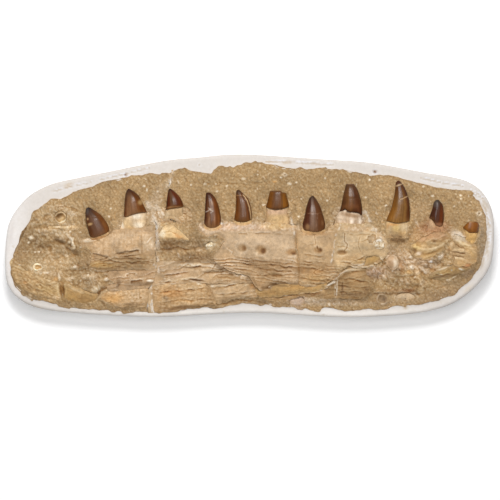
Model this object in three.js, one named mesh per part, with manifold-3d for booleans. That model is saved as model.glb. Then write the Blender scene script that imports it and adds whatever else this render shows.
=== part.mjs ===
// A fossil mosasaur jaw that lies in its sandy matrix, in a plaster jacket.
// Millimetres, +Z up. The jaw lies along X with its tip towards +X, and the teeth point to +Y.
// Outlines are plan views, in millimetres from a point near the middle of the jaw.
import * as THREE from 'three';
import { mergeVertices } from 'three/addons/utils/BufferGeometryUtils.js';
import Module from 'manifold-3d';

const wasm = await Module();
wasm.setup();

// driving dimensions
const RIM_TOP = 40; // top of the plaster rim above the surface that the jacket lies on
const JACKET_FLOOR = 12; // thickness of plaster under the rock
const ROCK_TOP = 41; // general level of the rock
const BONE_FLOOR = 29; // how deep the bones reach into the rock
const TOOTH_AXIS = 43.5; // height of the teeth's axes, so half of each tooth is in the rock
const TOOTH_DEPTH = 0.84; // a tooth's thickness as a share of its width
const THICKEST_TOOTH = 11.5; // half the thickness of the widest roots
const TOOTH_SIDES = 8;
const GAP = 0.3; // between neighbouring pieces
const SKY = 90; // above everything
const ROCK_STEP = 19; // spacing of the rock's surface points
const BONE_STEP = 12; // spacing of the bones' surface points
const JACKET_SIDES = 48;

// the jacket's outer edge, from its left end over the top
const JACKET_EDGE = [
  [-293, -25], [-291, 0], [-286, 20], [-271, 40], [-250, 56.5], [-210, 67.5], [-170, 75.7],
  [-130, 84], [-90, 90.8], [-50, 94], [-20, 97], [20, 95.6], [60, 92.8], [100, 90.3], [140, 87.4],
  [180, 80.8], [220, 73.2], [250, 68], [270, 59.8], [285, 43.6], [292, 24], [293.5, 5], [292, -22],
  [287, -41], [274.6, -58.5], [253.5, -77], [232, -87], [204, -93.5], [160, -97.5], [120, -99],
  [75, -97.5], [30, -94.5], [0, -93.6], [-40, -95], [-90, -98], [-130, -98.4], [-179, -96],
  [-222, -92.5], [-255, -87.4], [-276, -77], [-289, -62], [-292.4, -45],
];
// rings of the jacket's wall from the bottom up: height, and distance inside the outer edge
const JACKET_WALL = [[0, 5], [5, 1], [16, 0], [29, 0.8], [36.5, 4], [RIM_TOP, 9]];

// the rock's broken edge, where it meets the plaster
const ROCK_EDGE = [
  [-286, -30], [-279.5, -14.7], [-274.5, -1], [-264.7, 14], [-260.5, 26], [-250, 33.7],
  [-238.6, 42.5], [-226, 43.5], [-211, 51.7], [-190, 57.3], [-177.4, 63], [-140.8, 71.2],
  [-104, 74.3], [-86.6, 78.5], [-69.7, 77], [-47, 73.3], [-37, 82.7], [-19, 81.5],
  [-4.8, 87], [15, 87], [38, 81.7], [57, 80], [91, 80.5], [121, 76.4], [144.4, 71], [162, 71.8],
  [190, 65.5], [218, 58.5], [240, 54.5], [268, 51], [276, 38], [283.4, 19], [284, -3], [277.8, -33],
  [262, -56.4], [245, -72], [219.6, -79.3], [189, -84.5], [152, -89.5], [110, -90.5], [84, -91],
  [53.6, -87], [9, -83], [-10, -81.4], [-41.5, -88.4], [-77, -89], [-113, -93.5], [-150.6, -94],
  [-187, -89], [-228, -85], [-258, -78], [-279.5, -63.4], [-285.5, -47],
];
// hills and hollows of the rock: x, y, half width, half depth, rise
const ROCK_FORMS = [
  [80, 10, 210, 13, 3], [-232, -22, 30, 14, -4], [-268, -12, 12, 20, -2.5], [-240, 8, 30, 12, 1.5],
  [110, -86, 130, 9, -3.5], [185, -40, 34, 18, 5], [-190, -57, 15, 12, 4], [-88, -14, 20, 9, -3],
  [-70, -29, 30, 5, -2.5], [178, -6, 9, 5, -3], [-210, -86, 60, 6, -2], [-160, -90, 50, 5, -3],
  [-150, -50, 40, 9, 2], [220, 12, 22, 12, 2], [160, 45, 60, 18, 1], [-30, 50, 60, 20, 1],
];

// the glued break through the whole block: its course, and half its width at each point
const BREAK = [
  [-90, 90, 2.5], [-97, 58, 1.6], [-112, 36, 1.5], [-116, 25, 1.5], [-110.5, 5, 2.2],
  [-112.5, -30, 2.2], [-112, -45, 2.2], [-118.5, -66, 3.2], [-119.5, -80, 3.4], [-117.5, -100, 3.2],
];

// each tooth from its root to its tip: left and right edge of one cross-section a row
const TEETH = {
  tooth_01: [
    [-189.4, -3, -168, 4.4], [-193.3, 8, -168.6, 11], [-195, 15, -172, 17], [-195.9, 22, -176, 22.4],
    [-196, 27, -181, 26.7], [-195.2, 31, -187, 30], [-193.8, 32.6, -191.8, 32.6],
  ],
  tooth_02: [
    [-155, 4, -126, 6], [-151.5, 20, -122.4, 21], [-149.6, 32, -124.3, 32], [-149, 40, -128.3, 39.5],
    [-148.3, 46, -131.4, 44.8], [-147, 51.6, -135, 49.2], [-145.3, 54.8, -141, 53.4],
  ],
  tooth_03: [
    [-100, 25, -79, 27], [-99.8, 33, -79.2, 36], [-98.6, 43.6, -82.5, 43.8], [-97.7, 50, -87, 49.6],
    [-96.4, 54.4, -93, 54.2],
  ],
  tooth_04: [
    [-54.6, 5, -34, 5], [-54, 14, -34.2, 14], [-53.4, 24, -34.4, 24], [-53, 33, -36.3, 33],
    [-52.6, 40, -38.7, 40.3], [-52.1, 46.3, -42.5, 46.2], [-51.5, 50.4, -46.8, 50.4],
  ],
  tooth_05: [
    [-18.8, 9, 3, 9.5], [-18.1, 19, 2.4, 18.6], [-16.8, 28, 0.6, 28], [-16.1, 38, -2.8, 38],
    [-15.9, 46.8, -8, 46.8], [-15.4, 51.4, -10.6, 51], [-14.4, 53.4, -12, 53.5],
  ],
  tooth_06: [
    [12, 11, 53, 11], [19, 23, 47, 23], [19.9, 34, 47.2, 34], [22.2, 43.6, 45.8, 43],
    [24.4, 52.6, 42.5, 50.8],
  ],
  tooth_07: [
    [66, 3.2, 88, 4], [63.6, 11, 90.6, 11], [65, 19, 89.5, 19], [66.8, 27, 87.2, 27],
    [69, 36, 83.8, 36], [71.3, 42.6, 80, 42.6], [73.8, 46.2, 76.6, 46.2],
  ],
  tooth_08: [
    [103, 11, 136, 11], [107.4, 26, 134.8, 25.5], [110, 36.5, 134.2, 36.5], [111.4, 43.6, 132.8, 43.6],
    [113, 50.6, 131, 50.6], [114.8, 57.4, 127.6, 57.2], [116.8, 61, 123.2, 61],
  ],
  tooth_09: [
    [161, 1, 190, 1], [163.4, 15, 191.4, 16], [167.2, 27, 192, 27], [170.4, 36.5, 191.2, 37.5],
    [172.6, 45, 189.8, 46], [174.1, 54, 186.8, 54], [175.4, 61.8, 182.4, 61.4], [177.4, 64.7, 180, 64.6],
  ],
  tooth_10: [
    [213, 8, 232.6, 8], [214.9, 20.5, 232.3, 20], [217.2, 27, 232.2, 27], [219, 34.4, 231.2, 34.6],
    [220.4, 39, 229, 39.2], [222.4, 41.6, 226.4, 41.6],
  ],
  tooth_11: [
    [257, -8, 271, -10], [258, 4, 273, 3], [255.4, 8.6, 274.4, 8.2], [257.6, 11.6, 274.4, 12],
    [262, 15.6, 271.4, 15.8],
  ],
};

// bones and other bits: outline, level of the top at the outline's middle, slope along x and y,
// and how far the top falls towards the outline
const BONES = {
  pebble_dome: { level: 52, fall: 5, slope: [0, 0], finish: 'shell', edge: [
    [171, -24], [176, -27], [178, -33], [176, -39], [171, -41], [166, -37], [164.5, -31], [167, -26],
  ] },
  pebble_cream: { level: 47, fall: 3, slope: [0, 0], finish: 'shell', edge: [
    [-52, -12], [-49, -8.6], [-44.5, -8], [-43, -10.6], [-46, -13.4], [-50, -15],
  ] },
  white_nodule: { level: 50, fall: 2.5, slope: [0, 0], finish: 'shell', edge: [
    [150, -13], [149.5, -9], [153, -4], [158, -5], [159.5, -11], [158.6, -16], [153, -15.5],
  ] },
  shell_cup: { level: 41.5, fall: -1.5, slope: [0, 0], finish: 'shell', edge: [
    [-233.5, 21], [-231, 26.5], [-226, 28.6], [-220.6, 26.5], [-218.4, 21], [-221, 15], [-226.4, 13],
    [-231.6, 15.6],
  ] },
  shell_ring: { level: 41.5, fall: -1.2, slope: [0, 0], finish: 'shell', edge: [
    [-258.4, -38], [-256, -41.6], [-251.4, -42], [-248, -39], [-248.6, -35.4], [-253, -34], [-257, -35],
  ] },
  shell_bowl: { level: 40.5, fall: -1.4, slope: [0, 0], finish: 'shell', edge: [
    [152, -77], [154.6, -71.6], [160, -69.8], [165.6, -72], [167.6, -77.4], [165, -82.6], [159.6, -84.6],
    [154, -82.4],
  ] },
  spine_rod: { level: 42.5, fall: 1, slope: [0, 0], finish: 'bone', edge: [
    [-239, 7.4], [-224, 7], [-207, 7.4], [-207, 10.6], [-224, 10.6], [-239, 10.4],
  ] },
  pale_slab_1: { level: 40.5, fall: 1, slope: [0, 0.02], finish: 'bone', edge: [
    [48.6, -77], [49, -83], [56, -85.4], [63, -84], [66, -79], [63, -75.4], [55, -75],
  ] },
  pale_slab_2: { level: 40.5, fall: 1, slope: [0, 0.02], finish: 'bone', edge: [
    [174, -73], [179, -71], [192, -71], [197, -74], [193, -77.4], [183, -78.6], [176, -77],
  ] },
  olive_chip: { level: 49, fall: 1.5, slope: [0.03, 0.12], finish: 'bone', edge: [
    [138, -37], [139.5, -27], [142, -25.4], [150, -24], [156, -25], [155, -30], [148, -35],
  ] },
  front_chip: { level: 49.5, fall: 1.5, slope: [0.05, 0], finish: 'bone', edge: [
    [235.5, -20], [238.5, -15.6], [240, -9.6], [244, -8.6], [244.4, -14], [241, -19.4],
  ] },
  bone_wedge: { level: 51, fall: 1.5, slope: [0, 0.06], finish: 'bone', edge: [
    [-107, -3], [-105.4, 6], [-103, 10], [-98, 11.6], [-90, 9.6], [-85, 6], [-80, 2], [-72.6, -5.6],
    [-80, -5], [-90, -5.4], [-98, -4],
  ] },
  socket_bone_03: { level: 48.5, fall: 3, slope: [0, 0.03], finish: 'bone', edge: [
    [-110, 22], [-107, 29], [-100, 32], [-88, 34], [-78, 34], [-72, 28], [-70, 20], [-78, 17],
    [-90, 16], [-103, 16],
  ] },
  dentary_rear: { level: 51, fall: 3, slope: [0, 0.07], finish: 'bone', edge: [
    [-200, -12], [-199, -6], [-188, -4.6], [-180, -2.6], [-172, 1], [-165, 4], [-152, 7], [-136, 7],
    [-124, 10], [-114, 10], [-112.6, -12], [-114.6, -32], [-114.4, -40], [-135, -41.4], [-165, -41],
    [-190, -40], [-188.4, -28], [-190, -18],
  ] },
  dentary_main_1: { level: 53, fall: 4, slope: [0, 0.02], finish: 'bone', edge: [
    [-60, 8], [-56, 14], [-46, 13], [-34, 15], [-20, 15], [4, 16], [20, 13], [46, 12], [57, 9],
    [55.4, 0], [55.6, -15], [58, -30], [60, -40], [60, -50], [57, -59], [45, -57.4], [33, -59],
    [27, -60.4], [24, -63.6], [15, -65], [9, -61], [3.6, -53], [-3, -46.4], [-14, -45], [-26, -41],
    [-36, -34], [-41, -28], [-37, -19], [-32, -11], [-28, -7], [-34, -2], [-40, 2], [-52, 1],
  ] },
  dentary_main_2: { level: 51.5, fall: 3, slope: [0, 0.04], finish: 'bone', edge: [
    [58.4, 8], [66, 6], [88, 6], [98, 10], [107, 13], [104, 3], [101.6, -5], [100, -20], [99, -30],
    [104, -41], [108, -46], [100, -54], [92, -57], [80, -61], [68, -62], [59, -59], [61.4, -48],
    [61, -36], [57.6, -20], [57, -4],
  ] },
  dentary_main_3: { level: 52, fall: 3.5, slope: [-0.02, 0.04], finish: 'bone', edge: [
    [109, 13], [120, 12], [146, 11.6], [154, 4], [161, -5], [164.4, -13], [164, -22], [158, -30],
    [152, -33], [143, -38], [130, -38], [118, -36], [106, -40], [101.4, -30], [102, -20], [103.4, -5],
    [106, 3],
  ] },
  dentary_front: { level: 50.5, fall: 3.5, slope: [0, 0.06], finish: 'bone', edge: [
    [195, -15.4], [199, -9], [206, -3], [220, 2], [232, 2], [236.4, -4.4], [233, -9], [233.4, -14],
    [229, -19], [218, -25], [209, -28], [201, -27],
  ] },
  dentary_tip: { level: 50, fall: 4.5, slope: [0.02, 0.02], finish: 'bone', edge: [
    [246, 0], [252, -3], [262, -5], [270, -12], [271.6, -24], [270, -32], [263, -37], [254, -36],
    [246, -34.6], [245.6, -26], [240, -22], [246, -15], [245, -7],
  ] },
  tip_bar: { level: 47.5, fall: 3.5, slope: [0.04, 0.05], finish: 'bone', edge: [
    [214, -50], [222, -44.4], [227, -41], [236, -37.4], [246, -35.6], [256, -37.6], [264, -38.6],
    [258, -43], [248, -48], [238, -51.6], [226, -53],
  ] },
  laminae_rear: { level: 46.5, fall: 2, slope: [0.03, 0.03], finish: 'bone', edge: [
    [-165, -44], [-150, -42.4], [-115.4, -42], [-114.6, -48], [-118, -57], [-123, -60.6], [-136, -62],
    [-150, -64.6], [-163, -66], [-168, -63], [-158, -58], [-166, -50],
  ] },
  laminae_middle: { level: 47, fall: 2, slope: [0, 0.04], finish: 'bone', edge: [
    [-109.6, -35], [-84, -34], [-60, -33], [-42, -32], [-37, -35.6], [-27, -42.6], [-14, -46.6],
    [-4, -48], [2.6, -54.6], [-14, -55], [-50, -54.6], [-72, -54], [-90, -57], [-111.4, -58],
    [-109, -46],
  ] },
  laminae_golden: { level: 45.5, fall: 1.5, slope: [0, 0.08], finish: 'bone', edge: [
    [11, -64.6], [15, -66.6], [24.6, -65.2], [28, -62], [34, -60.6], [45, -59], [57, -60.6],
    [68, -63.6], [80, -62.6], [93, -58.6], [80, -63.6], [60, -66], [45, -69], [30, -71], [15, -71.6],
    [12, -68],
  ] },
  lower_bone_rear: { level: 45.5, fall: 2.5, slope: [0, 0.09], finish: 'bone', edge: [
    [-178, -73.6], [-170, -69.6], [-158, -67.6], [-140, -65], [-122.8, -62.4], [-124, -84.6],
    [-136, -84.2], [-146, -84], [-151, -86], [-158, -84], [-166, -80.6], [-173, -79],
  ] },
  lower_bone_1: { level: 45, fall: 2.5, slope: [0, 0.11], finish: 'bone', edge: [
    [-113.6, -60], [-90, -58.6], [-72, -55.6], [-56, -56], [-51, -60], [-47, -65], [-43.6, -74],
    [-40.6, -83], [-53, -84], [-72, -86.6], [-85, -90.4], [-108, -92.6], [-114.4, -90], [-115, -70],
  ] },
  lower_bone_2: { level: 45, fall: 2.5, slope: [0, 0.1], finish: 'bone', edge: [
    [-54, -55.8], [-30, -56.2], [-14, -56.4], [3, -56], [9.4, -64], [10, -71], [3, -74.4], [-8, -74],
    [-14, -75.4], [-28, -78], [-37, -82], [-42, -73], [-46, -64], [-50, -59],
  ] },
  lower_bar_1: { level: 45, fall: 2, slope: [0, 0.16], finish: 'bone', edge: [
    [16, -73], [30, -72.6], [46, -70.6], [60, -67.6], [80, -65], [88, -62.6], [89, -73.4], [60, -73.6],
    [46, -77.6], [20, -77.4],
  ] },
  lower_bar_2: { level: 46, fall: 2.5, slope: [0, 0.14], finish: 'bone', edge: [
    [90, -62], [95, -59], [103, -54], [110, -47.4], [117, -41.4], [136, -40.4], [139, -48], [144, -56],
    [142, -64], [136, -73], [128, -75], [104, -73.6], [90.4, -73.4],
  ] },
  rear_slab_1: { level: 44.5, fall: 2, slope: [0.02, 0.1], finish: 'bone', edge: [
    [-284, -35], [-276, -36], [-262, -45], [-245, -52], [-227, -59], [-225.6, -77], [-240, -75.4],
    [-250, -73], [-262, -68.6], [-275, -60], [-282, -50],
  ] },
  rear_slab_2: { level: 44.5, fall: 2.5, slope: [0.02, 0.12], finish: 'bone', edge: [
    [-222.4, -59.4], [-205, -63.6], [-190, -69], [-181, -70.6], [-186, -78], [-200, -80.6],
    [-211, -78.6], [-222, -75],
  ] },
};

// colour, roughness of each finish
const FINISHES = {
  plaster: [0xeae3dc, 0.9],
  rock: [0xad9068, 0.95],
  filler: [0xc9bba4, 0.92],
  bone: [0xcfae80, 0.75],
  enamel: [0x5a3218, 0.3],
  shell: [0xe6d8bf, 0.7],
};

function finish(name) {
  const [color, roughness] = FINISHES[name];
  return new THREE.MeshStandardMaterial({ color, roughness, metalness: 0 });
}

// solids for joining and cutting
function toSolid(geometry) {
  const bare = geometry.clone();
  bare.deleteAttribute('normal');
  bare.deleteAttribute('uv');
  const merged = mergeVertices(bare, 1e-4);
  const vertProperties = new Float32Array(merged.attributes.position.array);
  const triVerts = new Uint32Array(merged.index.array);
  return new wasm.Manifold(new wasm.Mesh({ numProp: 3, vertProperties, triVerts }));
}

function toGeometry(solid) {
  const mesh = solid.getMesh();
  const geometry = new THREE.BufferGeometry();
  geometry.setAttribute('position', new THREE.BufferAttribute(mesh.vertProperties, 3));
  geometry.setIndex(new THREE.BufferAttribute(mesh.triVerts, 1));
  geometry.computeVertexNormals();
  return geometry;
}

// plan outlines
function shoelace(points) {
  return points.reduce((sum, [x, y], i) => {
    const [nextX, nextY] = points[(i + 1) % points.length];
    return sum + (x * nextY - nextX * y) / 2;
  }, 0);
}

// the outline moved outwards by a distance, or inwards where it is negative
function offset(points, distance) {
  const turn = Math.sign(shoelace(points));
  return points.map(([x, y], i) => {
    const before = points[(i + points.length - 1) % points.length];
    const after = points[(i + 1) % points.length];
    const into = new THREE.Vector2(x - before[0], y - before[1]).normalize();
    const out = new THREE.Vector2(after[0] - x, after[1] - y).normalize();
    const normal = new THREE.Vector2(into.y + out.y, -into.x - out.x).normalize();
    const cosine = Math.max(0.5, normal.x * out.y - normal.y * out.x);
    const reach = (turn * distance) / cosine;
    return [x + normal.x * reach, y + normal.y * reach];
  });
}

function smoothLoop(points, count) {
  const curve = new THREE.CatmullRomCurve3(points.map(([x, y]) => new THREE.Vector3(x, y, 0)), true);
  return curve.getPoints(count).slice(0, count).map((point) => [point.x, point.y]);
}

// distance from a place to the nearest side of an outline
function edgeDistance(points, x, y) {
  const place = new THREE.Vector3(x, y, 0);
  const near = new THREE.Vector3();
  const side = new THREE.Line3();
  return points.reduce((least, point, i) => {
    const next = points[(i + 1) % points.length];
    side.start.set(point[0], point[1], 0);
    side.end.set(next[0], next[1], 0);
    side.closestPointToPoint(place, true, near);
    return Math.min(least, near.distanceTo(place));
  }, Infinity);
}

// an upright prism on a plan outline
function prism(points, bottom, top) {
  const shape = new THREE.Shape(points.map(([x, y]) => new THREE.Vector2(x, y)));
  const geometry = new THREE.ExtrudeGeometry(shape, { depth: top - bottom, bevelEnabled: false });
  geometry.translate(0, 0, bottom);
  return toSolid(geometry);
}

// a block over an outline's box, from the ground up, with its top side moved to a height for each place
function reliefBlock(points, step, heightAt) {
  const box = new THREE.Box2().setFromPoints(points.map(([x, y]) => new THREE.Vector2(x, y)));
  box.expandByScalar(1);
  const size = box.getSize(new THREE.Vector2());
  const centre = box.getCenter(new THREE.Vector2());
  const across = Math.max(2, Math.round(size.x / step));
  const along = Math.max(2, Math.round(size.y / step));
  const geometry = new THREE.BoxGeometry(size.x, size.y, 1, across, along, 1);
  geometry.translate(centre.x, centre.y, 0);
  const place = geometry.attributes.position;
  for (let i = 0; i < place.count; i += 1) {
    const isTop = place.getZ(i) > 0;
    place.setZ(i, isTop ? heightAt(place.getX(i), place.getY(i)) : 0);
  }
  return toSolid(geometry);
}

// heights
function rockHeight(x, y) {
  return ROCK_FORMS.reduce((sum, [formX, formY, halfX, halfY, rise]) => {
    const away = ((x - formX) / halfX) ** 2 + ((y - formY) / halfY) ** 2;
    return sum + rise * Math.exp(-away);
  }, ROCK_TOP);
}

function boneHeight(bone, x, y) {
  const middleX = bone.edge.reduce((sum, point) => sum + point[0], 0) / bone.edge.length;
  const middleY = bone.edge.reduce((sum, point) => sum + point[1], 0) / bone.edge.length;
  const leaning = bone.slope[0] * (x - middleX) + bone.slope[1] * (y - middleY);
  const rounding = bone.fall * Math.exp(-edgeDistance(bone.edge, x, y) / 5);
  return bone.level + leaning - rounding;
}

// pieces
function makeBone(bone) {
  const block = reliefBlock(bone.edge, BONE_STEP, (x, y) => boneHeight(bone, x, y));
  const column = prism(bone.edge, BONE_FLOOR, SKY);
  const withinRock = prism(ROCK_EDGE, 0, SKY);
  return block.intersect(column).intersect(withinRock);
}

function bonePocket(bone) {
  return prism(offset(bone.edge, GAP), BONE_FLOOR - GAP, SKY);
}

// one tooth: a cylinder whose rings follow the rows of left and right edges
function makeTooth(rows, grow) {
  const rings = rows.length - 1;
  const geometry = new THREE.CylinderGeometry(1, 1, 1, TOOTH_SIDES, rings);
  const place = geometry.attributes.position;
  for (let i = 0; i < place.count; i += 1) {
    const ring = Math.round((place.getY(i) + 0.5) * rings);
    const [leftX, leftY, rightX, rightY] = rows[ring];
    const half = new THREE.Vector2(rightX - leftX, rightY - leftY).multiplyScalar(0.5);
    const halfWidth = half.length();
    const stretch = (halfWidth + grow) / halfWidth;
    const isEnd = ring === 0 || ring === rings;
    const endShift = isEnd ? (ring === 0 ? -grow : grow) : 0;
    const axis = new THREE.Vector2(-half.y, half.x).normalize().multiplyScalar(endShift);
    const sideways = place.getX(i) * stretch;
    place.setXYZ(
      i,
      (leftX + rightX) / 2 + half.x * sideways + axis.x,
      (leftY + rightY) / 2 + half.y * sideways + axis.y,
      TOOTH_AXIS + place.getZ(i) * (Math.min(halfWidth * TOOTH_DEPTH, THICKEST_TOOTH) + grow),
    );
  }
  return toSolid(geometry);
}

// the jacket: a cylinder whose rings follow the outer edge, with a hollow for the rock
function makeJacket() {
  const edge = smoothLoop(JACKET_EDGE, JACKET_SIDES);
  const rings = JACKET_WALL.map(([, inset]) => offset(edge, -inset));
  const geometry = new THREE.CylinderGeometry(1, 1, 1, JACKET_SIDES, JACKET_WALL.length - 1);
  const place = geometry.attributes.position;
  const middle = [0, -3];
  for (let i = 0; i < place.count; i += 1) {
    const ring = Math.round((place.getY(i) + 0.5) * (JACKET_WALL.length - 1));
    const isCentre = Math.hypot(place.getX(i), place.getZ(i)) < 0.5;
    const angle = Math.atan2(place.getX(i), place.getZ(i));
    const turn = Math.round((angle / (2 * Math.PI)) * JACKET_SIDES);
    const corner = (2 * JACKET_SIDES - turn) % JACKET_SIDES;
    const [x, y] = isCentre ? middle : rings[ring][corner];
    place.setXYZ(i, x, y, JACKET_WALL[ring][0]);
  }
  const hollow = prism(offset(ROCK_EDGE, GAP), JACKET_FLOOR, SKY);
  return toSolid(geometry).subtract(hollow);
}

// the break as a plan outline, wider by a margin on each side
function breakOutline(margin) {
  const left = BREAK.map(([x, y, half]) => [x - half - margin, y]);
  const right = BREAK.map(([x, y, half]) => [x + half + margin, y]);
  return [...right, ...left.reverse()];
}

function rockBlock() {
  const relief = reliefBlock(ROCK_EDGE, ROCK_STEP, rockHeight);
  return relief.intersect(prism(ROCK_EDGE, JACKET_FLOOR + GAP, SKY));
}

// everything to one side of the break
function sideOfBreak(farX) {
  const course = BREAK.map(([x, y]) => [x, y]);
  const first = course[0];
  const last = course[course.length - 1];
  return prism([...course, [farX, last[1]], [farX, first[1]]], 0, SKY);
}

// what is left of a solid when small offcuts are dropped
function largestPart(solid) {
  const parts = solid.decompose();
  return parts.reduce((best, part) => (part.volume() > best.volume() ? part : best));
}

const jaw = new THREE.Group();
const outerBox = new THREE.Box2().setFromPoints(JACKET_EDGE.map(([x, y]) => new THREE.Vector2(x, y)));
const centre = outerBox.getCenter(new THREE.Vector2());
jaw.position.set(-centre.x, -centre.y, 0);

function addPiece(name, solid, finishName) {
  const mesh = new THREE.Mesh(toGeometry(solid), finish(finishName));
  mesh.name = name;
  jaw.add(mesh);
}

const pockets = [];
for (const [name, rows] of Object.entries(TEETH)) {
  addPiece(name, makeTooth(rows, 0), 'enamel');
  pockets.push(makeTooth(rows, GAP));
}
for (const [name, bone] of Object.entries(BONES)) {
  const cut = pockets.reduce((solid, pocket) => solid.subtract(pocket), makeBone(bone));
  addPiece(name, largestPart(cut), bone.finish);
  pockets.push(bonePocket(bone));
}

const rock = pockets.reduce((solid, pocket) => solid.subtract(pocket), rockBlock());
const filler = rock.intersect(prism(breakOutline(0), 0, SKY));
const blocks = rock.subtract(prism(breakOutline(GAP), 0, SKY));
addPiece('break_filler', largestPart(filler), 'filler');
addPiece('matrix_rear', largestPart(blocks.intersect(sideOfBreak(-400))), 'rock');
addPiece('matrix_front', largestPart(blocks.intersect(sideOfBreak(400))), 'rock');
addPiece('plaster_jacket', makeJacket(), 'plaster');

export default jaw;
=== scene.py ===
# %% [markdown]
# # A fossil mosasaur jaw in its plaster jacket
# The real thing is a slab of sandy phosphate rock with a jaw lying in it, held by a white
# plaster tray. The packed solids give every piece its size and place. This lesson dresses each
# solid with a fine mesh and a finish of its own, and never moves a solid.
# %% Load the packed solids
import math
import bmesh
import bpy
import numpy as np
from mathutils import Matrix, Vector
from mathutils.bvhtree import BVHTree
from mathutils.geometry import delaunay_2d_cdt


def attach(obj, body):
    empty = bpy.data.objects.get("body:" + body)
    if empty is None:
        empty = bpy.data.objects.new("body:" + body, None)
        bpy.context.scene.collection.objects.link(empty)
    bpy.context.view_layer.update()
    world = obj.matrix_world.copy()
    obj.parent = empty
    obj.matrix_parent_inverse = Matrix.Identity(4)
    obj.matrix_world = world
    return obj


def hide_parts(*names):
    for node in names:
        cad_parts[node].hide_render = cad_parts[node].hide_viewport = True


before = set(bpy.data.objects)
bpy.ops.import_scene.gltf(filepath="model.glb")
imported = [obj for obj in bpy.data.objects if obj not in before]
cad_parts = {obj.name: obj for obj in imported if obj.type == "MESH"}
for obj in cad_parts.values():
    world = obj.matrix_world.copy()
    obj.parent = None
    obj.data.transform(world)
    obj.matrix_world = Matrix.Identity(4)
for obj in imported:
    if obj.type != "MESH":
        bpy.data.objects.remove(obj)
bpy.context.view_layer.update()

print("solids:", len(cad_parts))

# %% [markdown]
# ## One ruler for everything
# Shapes below are written in millimetres, seen from above, from a point near the middle of the
# jaw. The solids use metres from the centre of the jacket, so one shift and one scale lead from
# the first to the second. The centre is the middle of the jacket's outline. A table of plan points
# has one point in each row, so *p.T hands over its two columns, x and y.
# %% From millimetres in plan to the frame
MM = 0.001
PLAN_CENTRE = np.array([0.25, -1.0])


def to_frame(points, heights):
    """Plan points in millimetres and heights in millimetres, as places in metres."""
    plan = (np.asarray(points, float) - PLAN_CENTRE) * MM
    return np.column_stack([plan, np.broadcast_to(np.asarray(heights, float) * MM, len(plan))])


print("a corner of the plan in metres:", to_frame([(-285, -90)], 40).round(4).tolist())

# %% [markdown]
# ## Seeded noise for broken stone
# Rock, bone and plaster are rough at every scale. Blender's own noise is called point by point
# from Python, which is slow for meshes this fine, so a small lattice noise in numpy gives the
# same kind of unevenness for whole arrays at once. It depends only on place and seed, so each
# run gives the same stone.
# %% Lattice noise
def lattice(ix, iy, seed):
    """A number from 0 to 1 for each lattice corner, by mixing its place with large odd numbers."""
    n = (ix.astype(np.int64) * 374761393 + iy.astype(np.int64) * 668265263 + seed * 974711) & 0xFFFFFFFF
    n = ((n ^ (n >> 13)) * 1274126177) & 0xFFFFFFFF
    return ((n ^ (n >> 16)) & 0xFFFF) / 65535.0


def noise(x, y, seed):
    """Smooth noise from -1 to 1 with a cell one unit wide."""
    ix, iy = np.floor(x), np.floor(y)
    u, v = x - ix, y - iy
    u, v = u * u * (3 - 2 * u), v * v * (3 - 2 * v)
    low = lattice(ix, iy, seed) * (1 - u) + lattice(ix + 1, iy, seed) * u
    high = lattice(ix, iy + 1, seed) * (1 - u) + lattice(ix + 1, iy + 1, seed) * u
    return (low * (1 - v) + high * v) * 2 - 1


def rough(x, y, size, seed, octaves=4):
    """Noise with finer noise added, about -1 to 1; size is the coarsest cell in millimetres."""
    total = np.zeros_like(x)
    strength = 1.0
    for step in range(octaves):
        total += noise(x / size * 2**step, y / size * 2**step, seed + 31 * step) * strength
        strength *= 0.5
    return total / 1.9


def lumps(x, y, size, seed, octaves=3):
    """Rounded lumps with sharp creases between them, about -0.5 to 1."""
    total = np.zeros_like(x)
    strength = 1.0
    for step in range(octaves):
        away_from_crease = np.abs(noise(x / size * 2**step, y / size * 2**step, seed + 37 * step))
        total += (away_from_crease * 2.6 - 0.8) * strength
        strength *= 0.55
    return total / 1.8


row = np.arange(5.0)
print("rough stone along a row:", rough(row, 0 * row, 15, 61).round(2).tolist())

# %% [markdown]
# ## Grains and chips
# Sand and broken shell aren't waves but single things, each at its own place. Every cell of the
# lattice holds one, moved, sized and turned by the lattice's numbers, and a point looks for it in
# its own cell and the eight round it.
# %% Scattered grains and bent chips
def cells_around(x, y, size):
    """The lattice cell of each place and the eight round it, one after the other."""
    ix, iy = np.floor(x / size), np.floor(y / size)
    for dx in (-1, 0, 1):
        for dy in (-1, 0, 1):
            yield ix + dx, iy + dy


def grains(x, y, size, seed):
    """Round grains scattered one to a cell: their height from 0 to 1, and a number for each."""
    height = np.zeros_like(x)
    kind = np.zeros_like(x)
    for cx, cy in cells_around(x, y, size):
        px = (cx + lattice(cx, cy, seed)) * size
        py = (cy + lattice(cx, cy, seed + 1)) * size
        radius = size * (0.2 + 0.45 * lattice(cx, cy, seed + 2))
        dome = np.sqrt(np.clip(1 - ((x - px) ** 2 + (y - py) ** 2) / radius**2, 0, 1)) * radius / size
        higher = dome > height
        height = np.where(higher, dome, height)
        kind = np.where(higher, lattice(cx, cy, seed + 3), kind)
    return height, kind


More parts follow.
